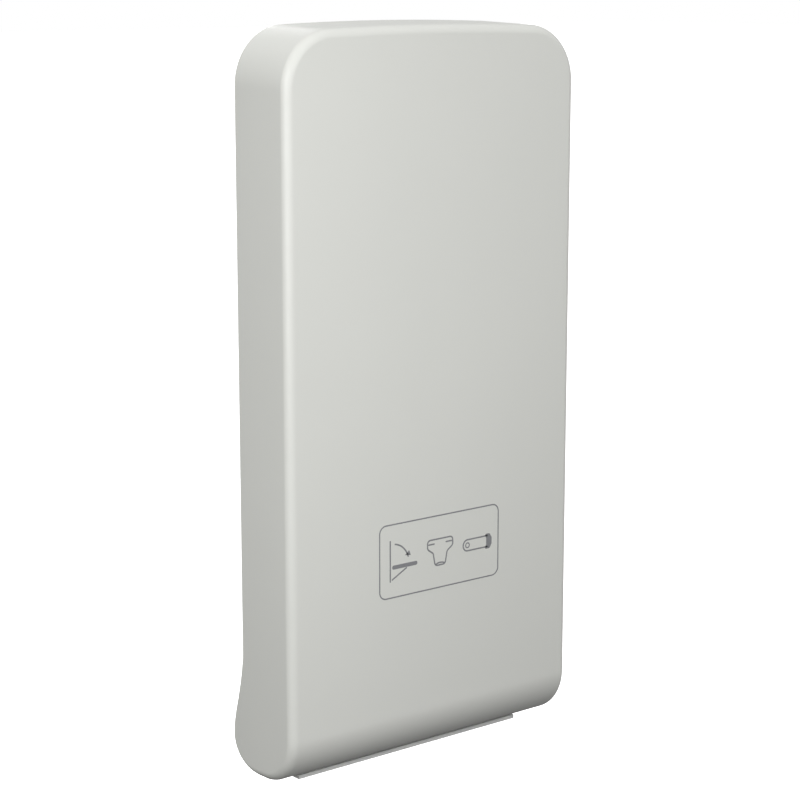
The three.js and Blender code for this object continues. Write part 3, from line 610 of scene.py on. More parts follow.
def flowing(points, steps, rounds=2):
    """Points eased by a few rounds of averaging, then run through with Catmull-Rom."""
    p = [list(q) for q in points]
    for _ in range(rounds):
        p = [p[0]] + [[0.25 * a + 0.5 * b + 0.25 * c for a, b, c in zip(p[i - 1], p[i], p[i + 1])] for i in range(1, len(p) - 1)] + [p[-1]]
    out = []
    for i in range(len(p) - 1):
        p0, p1, p2, p3 = p[max(i - 1, 0)], p[i], p[i + 1], p[min(i + 2, len(p) - 1)]
        for k in range(steps):
            t = k / steps
            out.append(tuple(0.5 * (2 * b + (c - a) * t + (2 * a - 5 * b + 4 * c - d) * t * t + (3 * b - a - 3 * c + d) * t**3) for a, b, c, d in zip(p0, p1, p2, p3)))
    out.append(tuple(p[-1]))
    return out


def foot_arc(r, edge, n):
    return [(HINGE_Y + r * math.cos(rad(180 + 90 * i / n)), HINGE_Z + r * math.sin(rad(180 + 90 * i / n)), edge) for i in range(n + 1)]


outer_profile = [(FRONT_Y, SPLIT_Z, EDGE_R), (FRONT_Y, -342, EDGE_R), *foot_arc(FOOT_R, EDGE_R, 40)]
outer_profile += [q for q in flowing([(HINGE_Y, HINGE_Z - FOOT_R, EDGE_R), *SWELL, (RIM_Y + 0.6, -302, 0)], 4)[1:-1]]
outer_profile.append((RIM_Y + 0.6, SPLIT_Z, 0))
inner_edge = EDGE_R - SKIN
inner_profile = [(FRONT_Y + SKIN, SPLIT_Z, inner_edge), (FRONT_Y + SKIN, -342, inner_edge), *foot_arc(FOOT_R - SKIN, inner_edge, 28)]
inner_profile += [(FOOT_LIP_Y, HINGE_Z - FOOT_R + SKIN, inner_edge), (FOOT_LIP_Y, -480, 0), (40, -480, 0), (40, SPLIT_Z, 0)]

shell = object_of("shell", Shape(shell_solid(HALF, FRONT_Y, RIM_Y + 0.6, BED_TOP, TOP_R, EDGE_R, outer_profile)))
cut(shell, Shape(shell_solid(HALF - SKIN, FRONT_Y + SKIN, 40, BED_TOP - SKIN, TOP_R - SKIN, inner_edge, inner_profile)))
finish_piece(shell, "bed", ["bed_shell"], "shell_plastic", M_SHELL, sharp=35)
TRAY_SCREWS = [(208.6, -150), (208.6, 200), (-208.6, -150), (-208.6, 200)]
bosses = Shape()
for bx, bz in TRAY_SCREWS:
    bosses.add(tube("Y", (bx, bz), 2.4, 7.3, TRAY_RIM - 33, TRAY_RIM - TRAY_T - 0.4, 0.5, 32))
piece("shell_bosses", bosses, "bed", [], "shell_plastic", M_SHELL)


# ------------------------------------------------------------------ changing tray
TRAY_HALF = HALF - SKIN - 0.4
TRAY_TOP_R = TOP_R - SKIN - 0.4
TRAY_TOP = BED_TOP - SKIN - 0.7


def tray_y(x, z):
    xi, top, bottom, rc = 202, TRAY_TOP - 13 - CROWN * (x / HALF) ** 2, -300, 52 if z > 0 else 44
    cz, hz = (top + bottom) / 2, (top - bottom) / 2
    qx, qz = abs(x) - (xi - rc), abs(z - cz) - (hz - rc)
    d = -(math.hypot(max(qx, 0), max(qz, 0)) + min(max(qx, qz), 0) - rc)
    rim = TRAY_RIM + (TRAY_RIM_LOW - TRAY_RIM) * smooth((-215 - z) / 80)
    floor = TRAY_FLOOR - TRAY_DISH * max(0, 1 - (x / 150) ** 2)
    return rim + (floor - rim) * smooth(d / TRAY_SLOPE)


def tray_solid():
    cx, cz = TRAY_HALF - TRAY_TOP_R, TRAY_TOP - 2.96 - TRAY_TOP_R
    ts = [i / 24 * 0.56 for i in range(25)] + [0.56 + 0.44 * i / 44 for i in range(1, 45)]
    cols = [-t for t in reversed(ts[1:])] + ts
    zs = list(np.linspace(TRAY_END, -215, 36)) + list(np.linspace(-215, 290, 50))[1:] + list(np.linspace(290, cz, 24))[1:]
    rows = [(z, TRAY_HALF) for z in zs]
    rows += [(cz + TRAY_TOP_R * math.sin(rad(a)), cx + TRAY_TOP_R * math.cos(rad(a))) for a in np.linspace(2.5, 90, 36)]
    nc, nr, pts, faces = len(cols), len(rows), [], []
    for drop in (0, TRAY_T):
        for z, w in rows:
            for t in cols:
                x = t * w
                rise = smooth((z - 300) / 140) * 2.96 * (1 - (x / cx) ** 2) if abs(x) < cx else 0
                pts.append((x, tray_y(x, z + rise) - drop, z + rise))
    at = lambda s, r, c: s * nr * nc + r * nc + c
    for s in (0, 1):
        faces += [(at(s, r, c), at(s, r, c + 1), at(s, r + 1, c + 1), at(s, r + 1, c)) for r in range(nr - 1) for c in range(nc - 1)]
    edge = [(0, c) for c in range(nc)] + [(r, nc - 1) for r in range(1, nr)] + [(nr - 1, c) for c in range(nc - 2, -1, -1)] + [(r, 0) for r in range(nr - 2, 0, -1)]
    for (r, c), (r2, c2) in zip(edge, edge[1:] + edge[:1]):
        faces.append((at(0, r, c), at(0, r2, c2), at(1, r2, c2), at(1, r, c)))
    return pts, faces


tray = piece("tray", Shape(tray_solid()), "bed", ["bed_tray"], "tray_plastic", M_TRAY, bevel=0.9, bevel_angle=60, seg=3)


def cross_hole(a, b, r, w):
    pts = []
    for k in range(4):
        t = rad(90 * k)
        for u, v in ((r, -w), (r, w), (w, w)):
            pts.append((a + u * math.cos(t) - v * math.sin(t), b + u * math.sin(t) + v * math.cos(t)))
    return pts


for i, (sx, sz) in enumerate(TRAY_SCREWS):
    y = TRAY_RIM + GAP
    s = Shape(slab("Y", ring(sx, sz, 4.2, 40), y + 0.35, y + 1.6, [cross_hole(sx, sz, 2.2, 0.5)], 0.5, 4), rod("Y", (sx, sz), 4.15, y, y + 0.5, 0.1, 40), rod("Y", (sx, sz), 1.9, TRAY_RIM - 21, y + 0.2, 0.4, 24))
    piece(f"tray_screw_head_{i + 1}", s, "bed", [f"tray_screw_{i + 1}"], "steel", M_STEEL_X)

piece("strike", Shape(slab("Y", round_rect(-36, 36, 431.6, 440, 3), TRAY_RIM + GAP, TRAY_RIM + 1.6, [ring(-28, 435.8, 1.6, 24), ring(28, 435.8, 1.6, 24)], 0.35)), "bed", ["strike_plate"], "steel", M_STEEL_X)


# ------------------------------------------------------------------ safety strap
def lift(x):
    return 1.6 + 2.8 * smooth((135 - abs(x)) / 55)


def strap_frame(x):
    slope = tray_y(x + 0.5, STRAP_Z) - tray_y(x - 0.5, STRAP_Z)
    length = math.hypot(1, slope)
    return (x, tray_y(x, STRAP_Z)), (-slope / length, 1 / length)


def webbing(name, x0, x1, n, node):
    half, t = STRAP_HALF, STRAP_T
    sect = []  # (across, height) round the band's section
    for a in np.linspace(-90, 90, 7):
        sect.append((half - t / 2 + t / 2 * math.cos(rad(a)), t / 2 + t / 2 * math.sin(rad(a))))
    sect += [(c, t) for c in np.linspace(half - t / 2, -half + t / 2, 14)[1:-1]]
    for a in np.linspace(90, 270, 7):
        sect.append((-half + t / 2 + t / 2 * math.cos(rad(a)), t / 2 + t / 2 * math.sin(rad(a))))
    sect += [(c, 0) for c in np.linspace(-half + t / 2, half - t / 2, 14)[1:-1]]
    k = len(sect)
    pts, faces, uvs, along, last = [], [], [], 0.0, None
    for i in range(n + 1):
        x = x0 + (x1 - x0) * i / n
        (px, py), (nx, ny) = strap_frame(x)
        o = (px + nx * lift(x), py + ny * lift(x))
        along += math.hypot(o[0] - last[0], o[1] - last[1]) if last else 0
        last = o
        for c, h in sect:
            pts.append((o[0] + nx * h, o[1] + ny * h, STRAP_Z + c))
            uvs.append((along, c))
    for i in range(n):
        faces += [(i * k + j, i * k + (j + 1) % k, (i + 1) * k + (j + 1) % k, (i + 1) * k + j) for j in range(k)]
    faces += [tuple(range(k)), tuple(n * k + j for j in range(k))]
    me = bpy.data.meshes.new(name)
    me.from_pydata([(x * MM, y * MM, z * MM) for x, y, z in pts], [], faces)
    layer = me.uv_layers.new(name="weave")
    for loop in me.loops:
        layer.data[loop.index].uv = uvs[loop.vertex_index]
    bm = bmesh.new()
    bm.from_mesh(me)
    bmesh.ops.recalc_face_normals(bm, faces=bm.faces)
    bm.to_mesh(me)
    bm.free()
    ob = bpy.data.objects.new(name, me)
    scene.collection.objects.link(ob)
    return finish_piece(ob, "bed", [node], "webbing", M_WEB, sharp=60)


webbing("strap_half_left", -181, -40.4, 120, "strap_left")
webbing("strap_half_right", 12, 181, 150, "strap_right")


def stitches(name, xs, zs_across, boxes):
    """Rows of short thread stitches on the webbing's upper face. boxes are (x0, x1) lengths of sewn rectangles."""
    s = Shape()

    def one(x, c, across):
        (px, py), (nx, ny) = strap_frame(x)
        h = lift(x) + STRAP_T + 0.12
        o = Vector((px + nx * h, py + ny * h, STRAP_Z + c))
        tangent = Vector((ny, -nx, 0))
        up = Vector((nx, ny, 0))
        side = Vector((0, 0, 1))
        run, wide = (side, tangent) if across else (tangent, side)
        m = Matrix(((run.x, wide.x, up.x, o.x), (run.y, wide.y, up.y, o.y), (run.z, wide.z, up.z, o.z), (0, 0, 0, 1)))
        s.add(slab("Z", round_rect(-1.15, 1.15, -0.34, 0.34, 0.33, 4), -0.22, 0.22, (), 0.2, 2), m)

    for x0, x1 in boxes:
        for c in (-15.5, 15.5):
            for x in np.arange(x0 + 1.5, x1 - 0.5, 3.1):
                one(x, c, False)
        for x in (x0, x1):
            for c in np.arange(-14, 14.1, 3.1):
                one(x, c, True)
    return piece(name, s, "bed", [], "webbing", M_THREAD)


stitches("strap_stitching_left", None, None, [(-172, -152), (-62, -46)])
stitches("strap_stitching_right", None, None, [(152, 172), (68, 84)])

for side, s in SIDES:
    x = 184 * s
    y = tray_y(x, STRAP_Z)
    turn = math.atan(tray_y(x + 0.5, STRAP_Z) - tray_y(x - 0.5, STRAP_Z))
    m = Matrix.Translation((x, y, STRAP_Z)) @ Matrix.Rotation(turn, 4, "Z")
    a = Shape()
    a.add(slab("Z", round_rect(-5, 5, 3.0, 5.4, 1.1), -STRAP_HALF - 4, STRAP_HALF + 4, (), 0.8), m)
    for e in (-1, 1):
        c0, c1 = span(e, STRAP_HALF + 0.6, STRAP_HALF + 3.4)
        a.add(slab("Z", round_rect(-1.6, 1.6, -3.5, 3.4, 0.4), c0, c1, (), 0.3), m)
        a.add(slab("Z", round_rect(-3.4, 3.4, 0.15, 1.0, 0.4), c0 - 1.2 * (e < 0), c1 + 1.2 * (e > 0), (), 0.3), m)
    piece("strap_anchor_bar_" + side, a, "bed", ["strap_anchor_" + side], "black_plastic", M_BLACK)

# Buckle halves: a hollow socket and a pronged tongue, with raised grips.
socket = object_of("buckle_socket_body", Shape(slab("Y", round_rect(-40, 0, STRAP_Z - 25, STRAP_Z + 25, 7), -103, -90.9, (), 2.6, 5)))
cut(socket, Shape(slab("Y", round_rect(-32, 8, STRAP_Z - 20, STRAP_Z + 20, 2), -97.7, -92.2, (), 0.4)))
finish_piece(socket, "bed", ["buckle_socket"], "black_plastic", M_BLACK, bevel=0.35, bevel_angle=60)
grip = Shape(slab("Y", round_rect(-33, -7, STRAP_Z - 15, STRAP_Z + 15, 9), -91.2, -90.35, (), 0.4))
for k in range(5):
    c = -27 + 3.5 * k
    grip.add(slab("Y", round_rect(c - 0.8, c + 0.8, STRAP_Z - 10, STRAP_Z + 10, 0.79), -90.6, -89.9, (), 0.33))
piece("buckle_socket_grip", grip, "bed", [], "black_plastic", M_BLACK)
tongue = object_of("buckle_tongue_body", Shape(slab("Y", round_rect(0.5, 31, STRAP_Z - 25, STRAP_Z + 25, 6), -103, -91.9, (), 2.4, 5)))
cut(tongue, Shape(slab("Y", round_rect(-8, 44, STRAP_Z - 20.5, STRAP_Z + 20.5, 1), -100.9, -97.4, (), 0.3)))
finish_piece(tongue, "buckle_tongue", ["buckle_tongue"], "black_plastic", M_BLACK, bevel=0.35, bevel_angle=60)
prongs = Shape()
for z0, z1, tip in ((STRAP_Z - 18.5, STRAP_Z - 12, -25), (STRAP_Z + 12, STRAP_Z + 18.5, -25), (STRAP_Z - 3, STRAP_Z + 3, -18)):
    prongs.add(slab("Y", rounded([(tip, z0), (4, z0), (4, z1), (tip, z1)], 2.6, 6), -97.2, -92.7, (), 0.7))
for k in range(4):
    c = 12 + 3.5 * k
    prongs.add(slab("Y", round_rect(c - 0.8, c + 0.8, STRAP_Z - 14, STRAP_Z + 14, 0.79), -92.2, -91.3, (), 0.35))
piece("buckle_tongue_prongs", prongs, "buckle_tongue", [], "black_plastic", M_BLACK)


# ------------------------------------------------------------------ bed metalwork
front_in = FRONT_Y + SKIN + 0.4
for side, s in SIDES:
    a, b = span(s, 146, 151)
    fa, fb = span(s, 146, 172)
    sa, sb = span(s, 156, 170)
    outline = hull([(front_in, HINGE_Z + 62), (front_in + 6, HINGE_Z + 62), (-66, HINGE_Z + 16), (-70, HINGE_Z - 17), (front_in, HINGE_Z + 2), *ring(HINGE_Y, HINGE_Z, 18, 64)])
    hp = Shape(slab("X", outline, a, b, [ring(HINGE_Y, HINGE_Z, 7.35)], 0.6))
    hp.add(slab("Y", round_rect(fa, fb, HINGE_Z + 3, HINGE_Z + 61, 3), front_in, front_in + 5, (), 0.6))
    hp.add(slab("Y", round_rect(sa, sb, HINGE_Z + 55, -180, 3), front_in, front_in + 4.9, [ring((sa + sb) / 2, -196, 2.6, 24)], 0.6))
    for bz in (HINGE_Z + 18, HINGE_Z + 46):
        hp.add(slab("Y", ring(161 * s, bz, 4.6, 6), front_in + 4.9, front_in + 8.2, (), 0.5))
    piece("bed_hinge_bracket_" + side, hp, "bed", ["bed_hinge_plate_" + side], "steel", M_STEEL)
    ca, cb = span(s, 148, 178)
    bar = rounded([(ca, front_in), (ca + 2, front_in), (ca + 2, -115), (cb - 2, -115), (cb - 2, front_in), (cb, front_in), (cb, -113), (ca, -113)], 0.7, 3)
    piece("bed_channel_" + side, Shape(slab("Z", bar, -310, 330, (), 0.3)), "bed", ["bed_stiffener_" + side], "steel", M_STEEL)

    la, lb = span(s, 64, 68)
    q = math.sqrt(0.5)
    pt = lambda r, t: (HINGE_Y + q * r + q * t, HINGE_Z - q * r + q * t)
    sw, slot_in = 6.7, STRUT_ARM * q
    slot_hole = [pt(STRUT_ARM - 1.8 + sw * math.cos(rad(-90 + 10 * i)), sw * math.sin(rad(-90 + 10 * i))) for i in range(19)]
    slot_hole += [pt(slot_in + 1.8 + sw * math.cos(rad(90 + 10 * i)), sw * math.sin(rad(90 + 10 * i))) for i in range(19)]
    tip = rounded([pt(0, -14), pt(STRUT_ARM, -12.5), pt(STRUT_ARM + 9, -8), pt(STRUT_ARM + 11, 0), pt(STRUT_ARM + 9, 8), pt(STRUT_ARM, 12.5), pt(0, 14)], 6, 6)
    crank = Shape(slab("X", hull([*ring(HINGE_Y, HINGE_Z, 17, 64), *tip]), la, lb, [slot_hole, ring(HINGE_Y, HINGE_Z, 7.35)], 0.5))
    piece("strut_crank_arm_" + side, crank, "bed", ["strut_crank_" + side], "steel", M_STEEL)
    k0, k1 = span(s, 151.4, 156.4)
    collar = Shape(tube("X", (HINGE_Y, HINGE_Z), 7.3, 12, k0, k1, 0.7, 56))
    collar.add(slab("Z", ring((k0 + k1) / 2, HINGE_Y, 1.6, 20), HINGE_Z + 11.2, HINGE_Z + 12.3, [ring((k0 + k1) / 2, HINGE_Y, 0.8, 6)], 0.2))
    piece("axle_collar_ring_" + side, collar, "bed", ["axle_collar_" + side], "steel", M_STEEL_X)

axle = [(0, -160), (5.6, -160), (7, -158.6), (7, -157.9), (6.4, -157.7), (6.4, -156.9), (7, -156.7)]
axle += [(r, -w) for r, w in reversed(axle)]
piece("axle_rod", Shape(lathe("X", (HINGE_Y, HINGE_Z), axle, 56)), "bed", ["hinge_axle"], "steel", M_STEEL_X)

# ------------------------------------------------------------------ gas struts
tip_pin = (HINGE_Y + STRUT_ARM * math.sqrt(0.5), HINGE_Z - STRUT_ARM * math.sqrt(0.5))
run = math.hypot(tip_pin[0] - STRUT_TOP_Y, tip_pin[1] - STRUT_TOP_Z)
strut_lean = math.atan2(tip_pin[0] - STRUT_TOP_Y, -(tip_pin[1] - STRUT_TOP_Z))
for side, s in SIDES:
    x = STRUT_X * s
    m = Matrix.Translation((x, STRUT_TOP_Y, STRUT_TOP_Z)) @ Matrix.Rotation(strut_lean, 4, "X")
    B = -STRUT_BODY
    prof = [(ROD_R + 0.4, B + 6), (ROD_R + 0.4, B + 0.6), (ROD_R + 0.9, B), (6.2, B), (7.6, B + 0.5), (8.4, B + 1.6), (8.5, B + 3.2), (8.2, B + 4.0), (8.2, B + 5.0), (8.9, B + 6.2),
            (STRUT_R, B + 7.4), (STRUT_R, B + 15), (8.5, B + 15.9), (8.3, B + 16.6), (8.5, B + 17.3), (STRUT_R, B + 18.2), (STRUT_R, -24), (8.8, -21.5), (8.1, -19.2), (6.6, -17.4), (4.4, -16.3), (0, -16)]
    body = Shape()
    body.add(lathe("Z", (0, 0), [(0, B + 7), *prof], 56), m)
    body.add(slab("X", rounded([(-5.6, -20), (5.6, -20), (5.6, -9), (4.2, -3), (-4.2, -3), (-5.6, -9)], 1.5), -4.4, 4.4, (), 0.8), m)
    body.add(tube("X", (0, 0), 4.4, 8, -5, 5, 0.7, 48), m)
    piece("strut_body_" + side, body, f"strut_{side}_tube", ["strut_cylinder_" + side], "strut_paint", M_STRUT)

    rod_shape = Shape()
    rod_shape.add(rod("Z", (0, 0), ROD_R, -run + 5, -114, 0.5, 40), m)
    rod_shape.add(rod("Z", (0, 0), 6.9, -125, -113.2, 0.5, 40), m)
    piece("strut_rod_bar_" + side, rod_shape, f"strut_{side}_rod", ["strut_rod_" + side], "rod_chrome", M_CHROME)
    eye = Shape()
    p0, p1 = span(-s, 2, 12)
    eye.add(rod("X", (0, -run), 8.5, -3, 3, 0.9, 48), m)
    eye.add(rod("X", (0, -run), 4, p0, p1, 0.7, 40), m)
    eye.add(rod("Z", (0, 0), 5.4, -run + 7.2, -run + 15, 0.8, 6), m)
    piece("strut_rod_end_" + side, eye, f"strut_{side}_rod", [], "steel", M_STEEL_X)

    mount = Shape(slab("Y", round_rect(x - 17, x + 17, STRUT_TOP_Z - 16, STRUT_TOP_Z + 16, 4), PB - 3, PB, (), 0.6))
    for e in (-1, 1):
        a, b = span(e, 6.5, 9.5)
        lug = rounded([(PB - 1, STRUT_TOP_Z - 12), (PB - 1, STRUT_TOP_Z + 12), (-16, STRUT_TOP_Z + 8), (-24, STRUT_TOP_Z + 5), (-24, STRUT_TOP_Z - 5), (-16, STRUT_TOP_Z - 8)], 3, 5)
        mount.add(slab("X", lug, x + a, x + b, [ring(STRUT_TOP_Y, STRUT_TOP_Z, 4.4, 32)], 0.5))
        for bz in (-9.5, 9.5):
            mount.add(rod("Y", (x + 13.2 * e, STRUT_TOP_Z + bz), 2.6, PB - 4.4, PB - 2.6, 0.7, 28))
    piece("strut_mount_" + side, mount, "wall_frame", ["strut_bracket_" + side], "steel", M_STEEL)
    pin = [(0, x - 11.5), (3.2, x - 11.5), (4, x - 10.8), (4, x + 10.0), (3.3, x + 10.2), (3.3, x + 10.7), (4, x + 10.9), (3.2, x + 11.5), (0, x + 11.5)]
    piece("strut_mount_pin_" + side, Shape(lathe("X", (STRUT_TOP_Y, STRUT_TOP_Z), pin, 40)), "wall_frame", ["strut_pin_" + side], "steel", M_STEEL_X)

# ------------------------------------------------------------------ hinge on the wall
for side, s in SIDES:
    a, b = span(s, 137.5, 142.5)
    fa, fb = span(s, 142, 166)
    outline = hull([(PB, -358), (PB, -290), (-20, -290), (-84, HINGE_Z + 15), (-84, HINGE_Z - 14), (-66, HINGE_Z - 15), *ring(HINGE_Y, HINGE_Z, 19, 64)])
    arm = Shape(slab("X", outline, a, b, [ring(HINGE_Y, HINGE_Z, 9.9)], 0.7))
    arm.add(slab("Y", round_rect(fa, fb, -358, -290, 5), PB - 5, PB, [ring(154 * s, z, 4.4, 28) for z in (-342, -306)], 0.6))
    f0, f1 = span(s, 141.4, 143.6)
    fillet = [(f0 if s > 0 else f1, PB - 5.6), (f0 if s > 0 else f1, PB - 7.6), ((f1 if s > 0 else f0) + 0.8 * s, PB - 4.9)]
    arm.add(slab("Z", fillet, -356, -292, (), 0.2))
    piece("hinge_arm_bracket_" + side, arm, "wall_frame", ["hinge_arm_" + side], "steel", M_STEEL)
    for z, which in ((-342, "lower"), (-306, "upper")):
        bolt = Shape(slab("Y", ring(154 * s, z, 6.6, 6), PB - 5 - GAP - 4.5, PB - 5 - GAP - 1.0, (), 0.7, 3))
        bolt.add(tube("Y", (154 * s, z), 4.2, 7.6, PB - 5 - GAP - 1.1, PB - 5 - 0.05, 0.25, 40))
        bolt.add(rod("Y", (154 * s, z), 3.9, PB - 6, PB - GAP, 0.2, 28))
        piece(f"arm_bolt_head_{which}_{side}", bolt, "wall_frame", [f"arm_bolt_{which}_{side}"], "steel", M_STEEL_X)
    c0, c1 = span(s, 136.5, 143)
    d0, d1 = span(s, 142.9, 145.4)
    bush = Shape(tube("X", (HINGE_Y, HINGE_Z), 7.4, 9.5, c0, c1, 0.4, 56), tube("X", (HINGE_Y, HINGE_Z), 7.5, 14, d0, d1, 0.6, 56))
    piece("hinge_bush_ring_" + side, bush, "wall_frame", ["hinge_bush_" + side], "bush_nylon", M_NYLON)

# ------------------------------------------------------------------ wall plate
plate_holes = [ring(x, z, 4.5, 36) for x in (-120, 120) for z in (-230, 60, 300)]
plate_outline = rounded(
    [(-PLATE_HALF, -440), (PLATE_HALF, -440), (PLATE_HALF, PLATE_TOP), (TAB_HALF, PLATE_TOP), (TAB_HALF, TAB_TOP), (-TAB_HALF, TAB_TOP), (-TAB_HALF, PLATE_TOP), (-PLATE_HALF, PLATE_TOP)], 6, 6)
plate = Shape(slab("Y", plate_outline, -PLATE_T, 0, plate_holes, 0.35))
bend = [(-0.05, -436)]
bend += [(-5.05 + 5 * math.cos(rad(-90 * i / 8)), LIP_BOTTOM + 5 + 5 * math.sin(rad(-90 * i / 8))) for i in range(9)]
bend += [(LIP_FRONT, LIP_BOTTOM), (LIP_FRONT, LIP_TOP)]
bend += [(-5.05 - 2 + 2 * math.sin(rad(90 * i / 6)) + 2.6, LIP_TOP + 2 - 2 * math.cos(rad(90 * i / 6))) for i in range(7)]
bend += [(-PLATE_T + 0.05, -436)]
plate.add(slab("X", bend, -PLATE_HALF, PLATE_HALF, (), 0.5))
POSTS = [(-148, -225), (148, -225), (-148, 128), (148, 128)]
for x, z in POSTS:
    plate.add(tube("Y", (x, z), 2.5, 7, PANEL_FRONT + PANEL_T + GAP, -1, 0.5, 36))
piece("wall_plate_sheet", plate, "wall_frame", ["wall_plate"], "plate_steel", M_PLATE)
for side, s in SIDES:
    a, b = span(s, 70, 150)
    pad = Shape(slab("Z", round_rect(a, b, -80, -64, 4), LIP_TOP + 0.02, LIP_TOP + 1.6, (), 0.6))
    piece("lip_pad_strip_" + side, pad, "wall_frame", ["lip_pad_" + side], "rubber", M_RUBBER)

# ------------------------------------------------------------------ cover panel and liner dispenser
pf, pr, ph = PANEL_FRONT, 14.0, PANEL_HALF
quarter = [rad(90 * i / 14) for i in range(15)]
channel = [(-ph, PB)]
channel += [(-ph + pr - pr * math.cos(t), pf + pr - pr * math.sin(t)) for t in quarter]
channel += [(ph - pr + pr * math.cos(t), pf + pr - pr * math.sin(t)) for t in reversed(quarter)]
channel += [(ph, PB), (ph - PANEL_T, PB)]
ir = pr - PANEL_T
channel += [(ph - pr + ir * math.cos(t), pf + pr - ir * math.sin(t)) for t in quarter]
channel += [(-ph + pr - ir * math.cos(t), pf + pr - ir * math.sin(t)) for t in reversed(quarter)]
channel += [(-ph + PANEL_T, PB)]
panel = object_of("cover_panel", Shape(slab("Z", channel, PANEL_BOTTOM, PANEL_TOP, (), 0)))
mouth = [*[p for p in round_rect(-105, 105, 205, 229, 11, 10)]]
notch = round_rect(-32, 32, 190, 226, 15, 10)
cut(panel, Shape(slab("Y", mouth, pf - 3, pf + PANEL_T + 3, (), 0)))
cut(panel, Shape(slab("Y", notch, pf - 3, pf + PANEL_T + 3, (), 0)))
for x, z in POSTS:
    cut(panel, Shape(slab("Y", ring(x, z, 2.9, 28), pf - 3, pf + PANEL_T + 3, (), 0)))
finish_piece(panel, "wall_frame", ["back_panel"], "panel_plastic", M_PANEL, bevel=0.8, bevel_angle=48, seg=3)
keeper = Shape(slab("Z", round_rect(-16, 16, pf + PANEL_T - 0.3, -47, 0.5), 336, 339, (), 0.4))
piece("panel_keeper", keeper, "wall_frame", [], "panel_plastic", M_PANEL)
for i, (x, z) in enumerate(POSTS):
    h = pf - GAP
    s = Shape(slab("Y", ring(x, z, 5, 44), h - 2.4, h - 0.7, [ring(x, z, 1.7, 6)], 0.7, 4), rod("Y", (x, z), 4.98, h - 0.9, h, 0.1, 44), rod("Y", (x, z), 2.1, h - 0.5, -39, 0.4, 24))
    piece(f"panel_screw_head_{i + 1}", s, "wall_frame", [f"panel_screw_{i + 1}"], "steel", M_STEEL_X)

bin_shape = Shape(
    slab("Z", round_rect(-150, 150, -51.4, -3.2, 0.6), 150, 152, (), 0.4),
    slab("Y", round_rect(-150, 150, 150.2, 341, 0.6), -5.2, -3.2, (), 0.4),
    slab("X", round_rect(-51.4, -3.4, 150.2, 341, 0.6), -150, -148, (), 0.4),
    slab("X", round_rect(-51.4, -3.4, 150.2, 341, 0.6), 148, 150, (), 0.4),
    slab("Y", round_rect(-149, 149, 150.4, 180, 0.6), -51.4, -49.4, (), 0.5),
)
piece("liner_bin_tray", bin_shape, "wall_frame", ["liner_bin"], "panel_plastic", M_PANEL)

lid = Shape(slab("Z", round_rect(-ph, ph, pf, -19, 10), PANEL_TOP + 0.5, PANEL_TOP + 3.5, [ring(0, -34, 6.9, 40)], 1.0, 4))
for s in (-1, 1):
    a, b = span(s, 95, 123)
    lid.add(slab("X", rounded([(-22, PANEL_TOP + 0.7), (-15, PANEL_TOP + 0.7), (LID_AXIS_Y - 3.2, LID_AXIS_Z - 4), (LID_AXIS_Y - 3.2, LID_AXIS_Z + 4), (-22, PANEL_TOP + 3.4)], 1.2), a, b, (), 0.5))
    lid.add(tube("X", (LID_AXIS_Y, LID_AXIS_Z), 2.9, 5, a, b, 0.5, 40))
lid.add(slab("Z", round_rect(-150, -22, -50, -26, 6), PANEL_TOP + 3.3, PANEL_TOP + 4.0, (), 0.35))
lid.add(slab("Z", round_rect(22, 150, -50, -26, 6), PANEL_TOP + 3.3, PANEL_TOP + 4.0, (), 0.35))
piece("dispenser_lid_plate", lid, "lid", ["dispenser_lid"], "panel_plastic", M_PANEL)
piece("lid_pin_rod", Shape(rod("X", (LID_AXIS_Y, LID_AXIS_Z), 2.5, -139, 139, 0.6, 36)), "wall_frame", ["lid_pin"], "steel", M_STEEL_X)
for side, s in SIDES:
    a, b = span(s, 127, 137)
    knuckle = rounded([(-14.5, 346.2), (PB, 346.2), (PB, 357.5), (-14.5, 357.5)], 3.2, 6)
    piece("lid_bracket_block_" + side, Shape(slab("X", knuckle, a, b, [ring(LID_AXIS_Y, LID_AXIS_Z, 2.85, 32)], 0.6)), "wall_frame", ["lid_bracket_" + side], "steel", M_STEEL)
top = PANEL_TOP + 6
lock = Shape(
    slab("Z", ring(0, -34, 9, 56), top - 1.4, top, [round_rect(-0.9, 0.9, -38.2, -29.8, 0.4, 3)], 0.6, 4),
    rod("Z", (0, -34), 8.9, top - 2.2, top - 1.2, 0.1, 56),
    rod("Z", (0, -34), 6.5, 334.3, top - 1.5, 0.4, 48),
    slab("Z", round_rect(-4, 16, -38, -30, 3.6), 331.5, 334.6, (), 0.5),
)
piece("lock_cylinder", lock, "lock", ["lock_barrel"], "steel", M_STEEL_X)

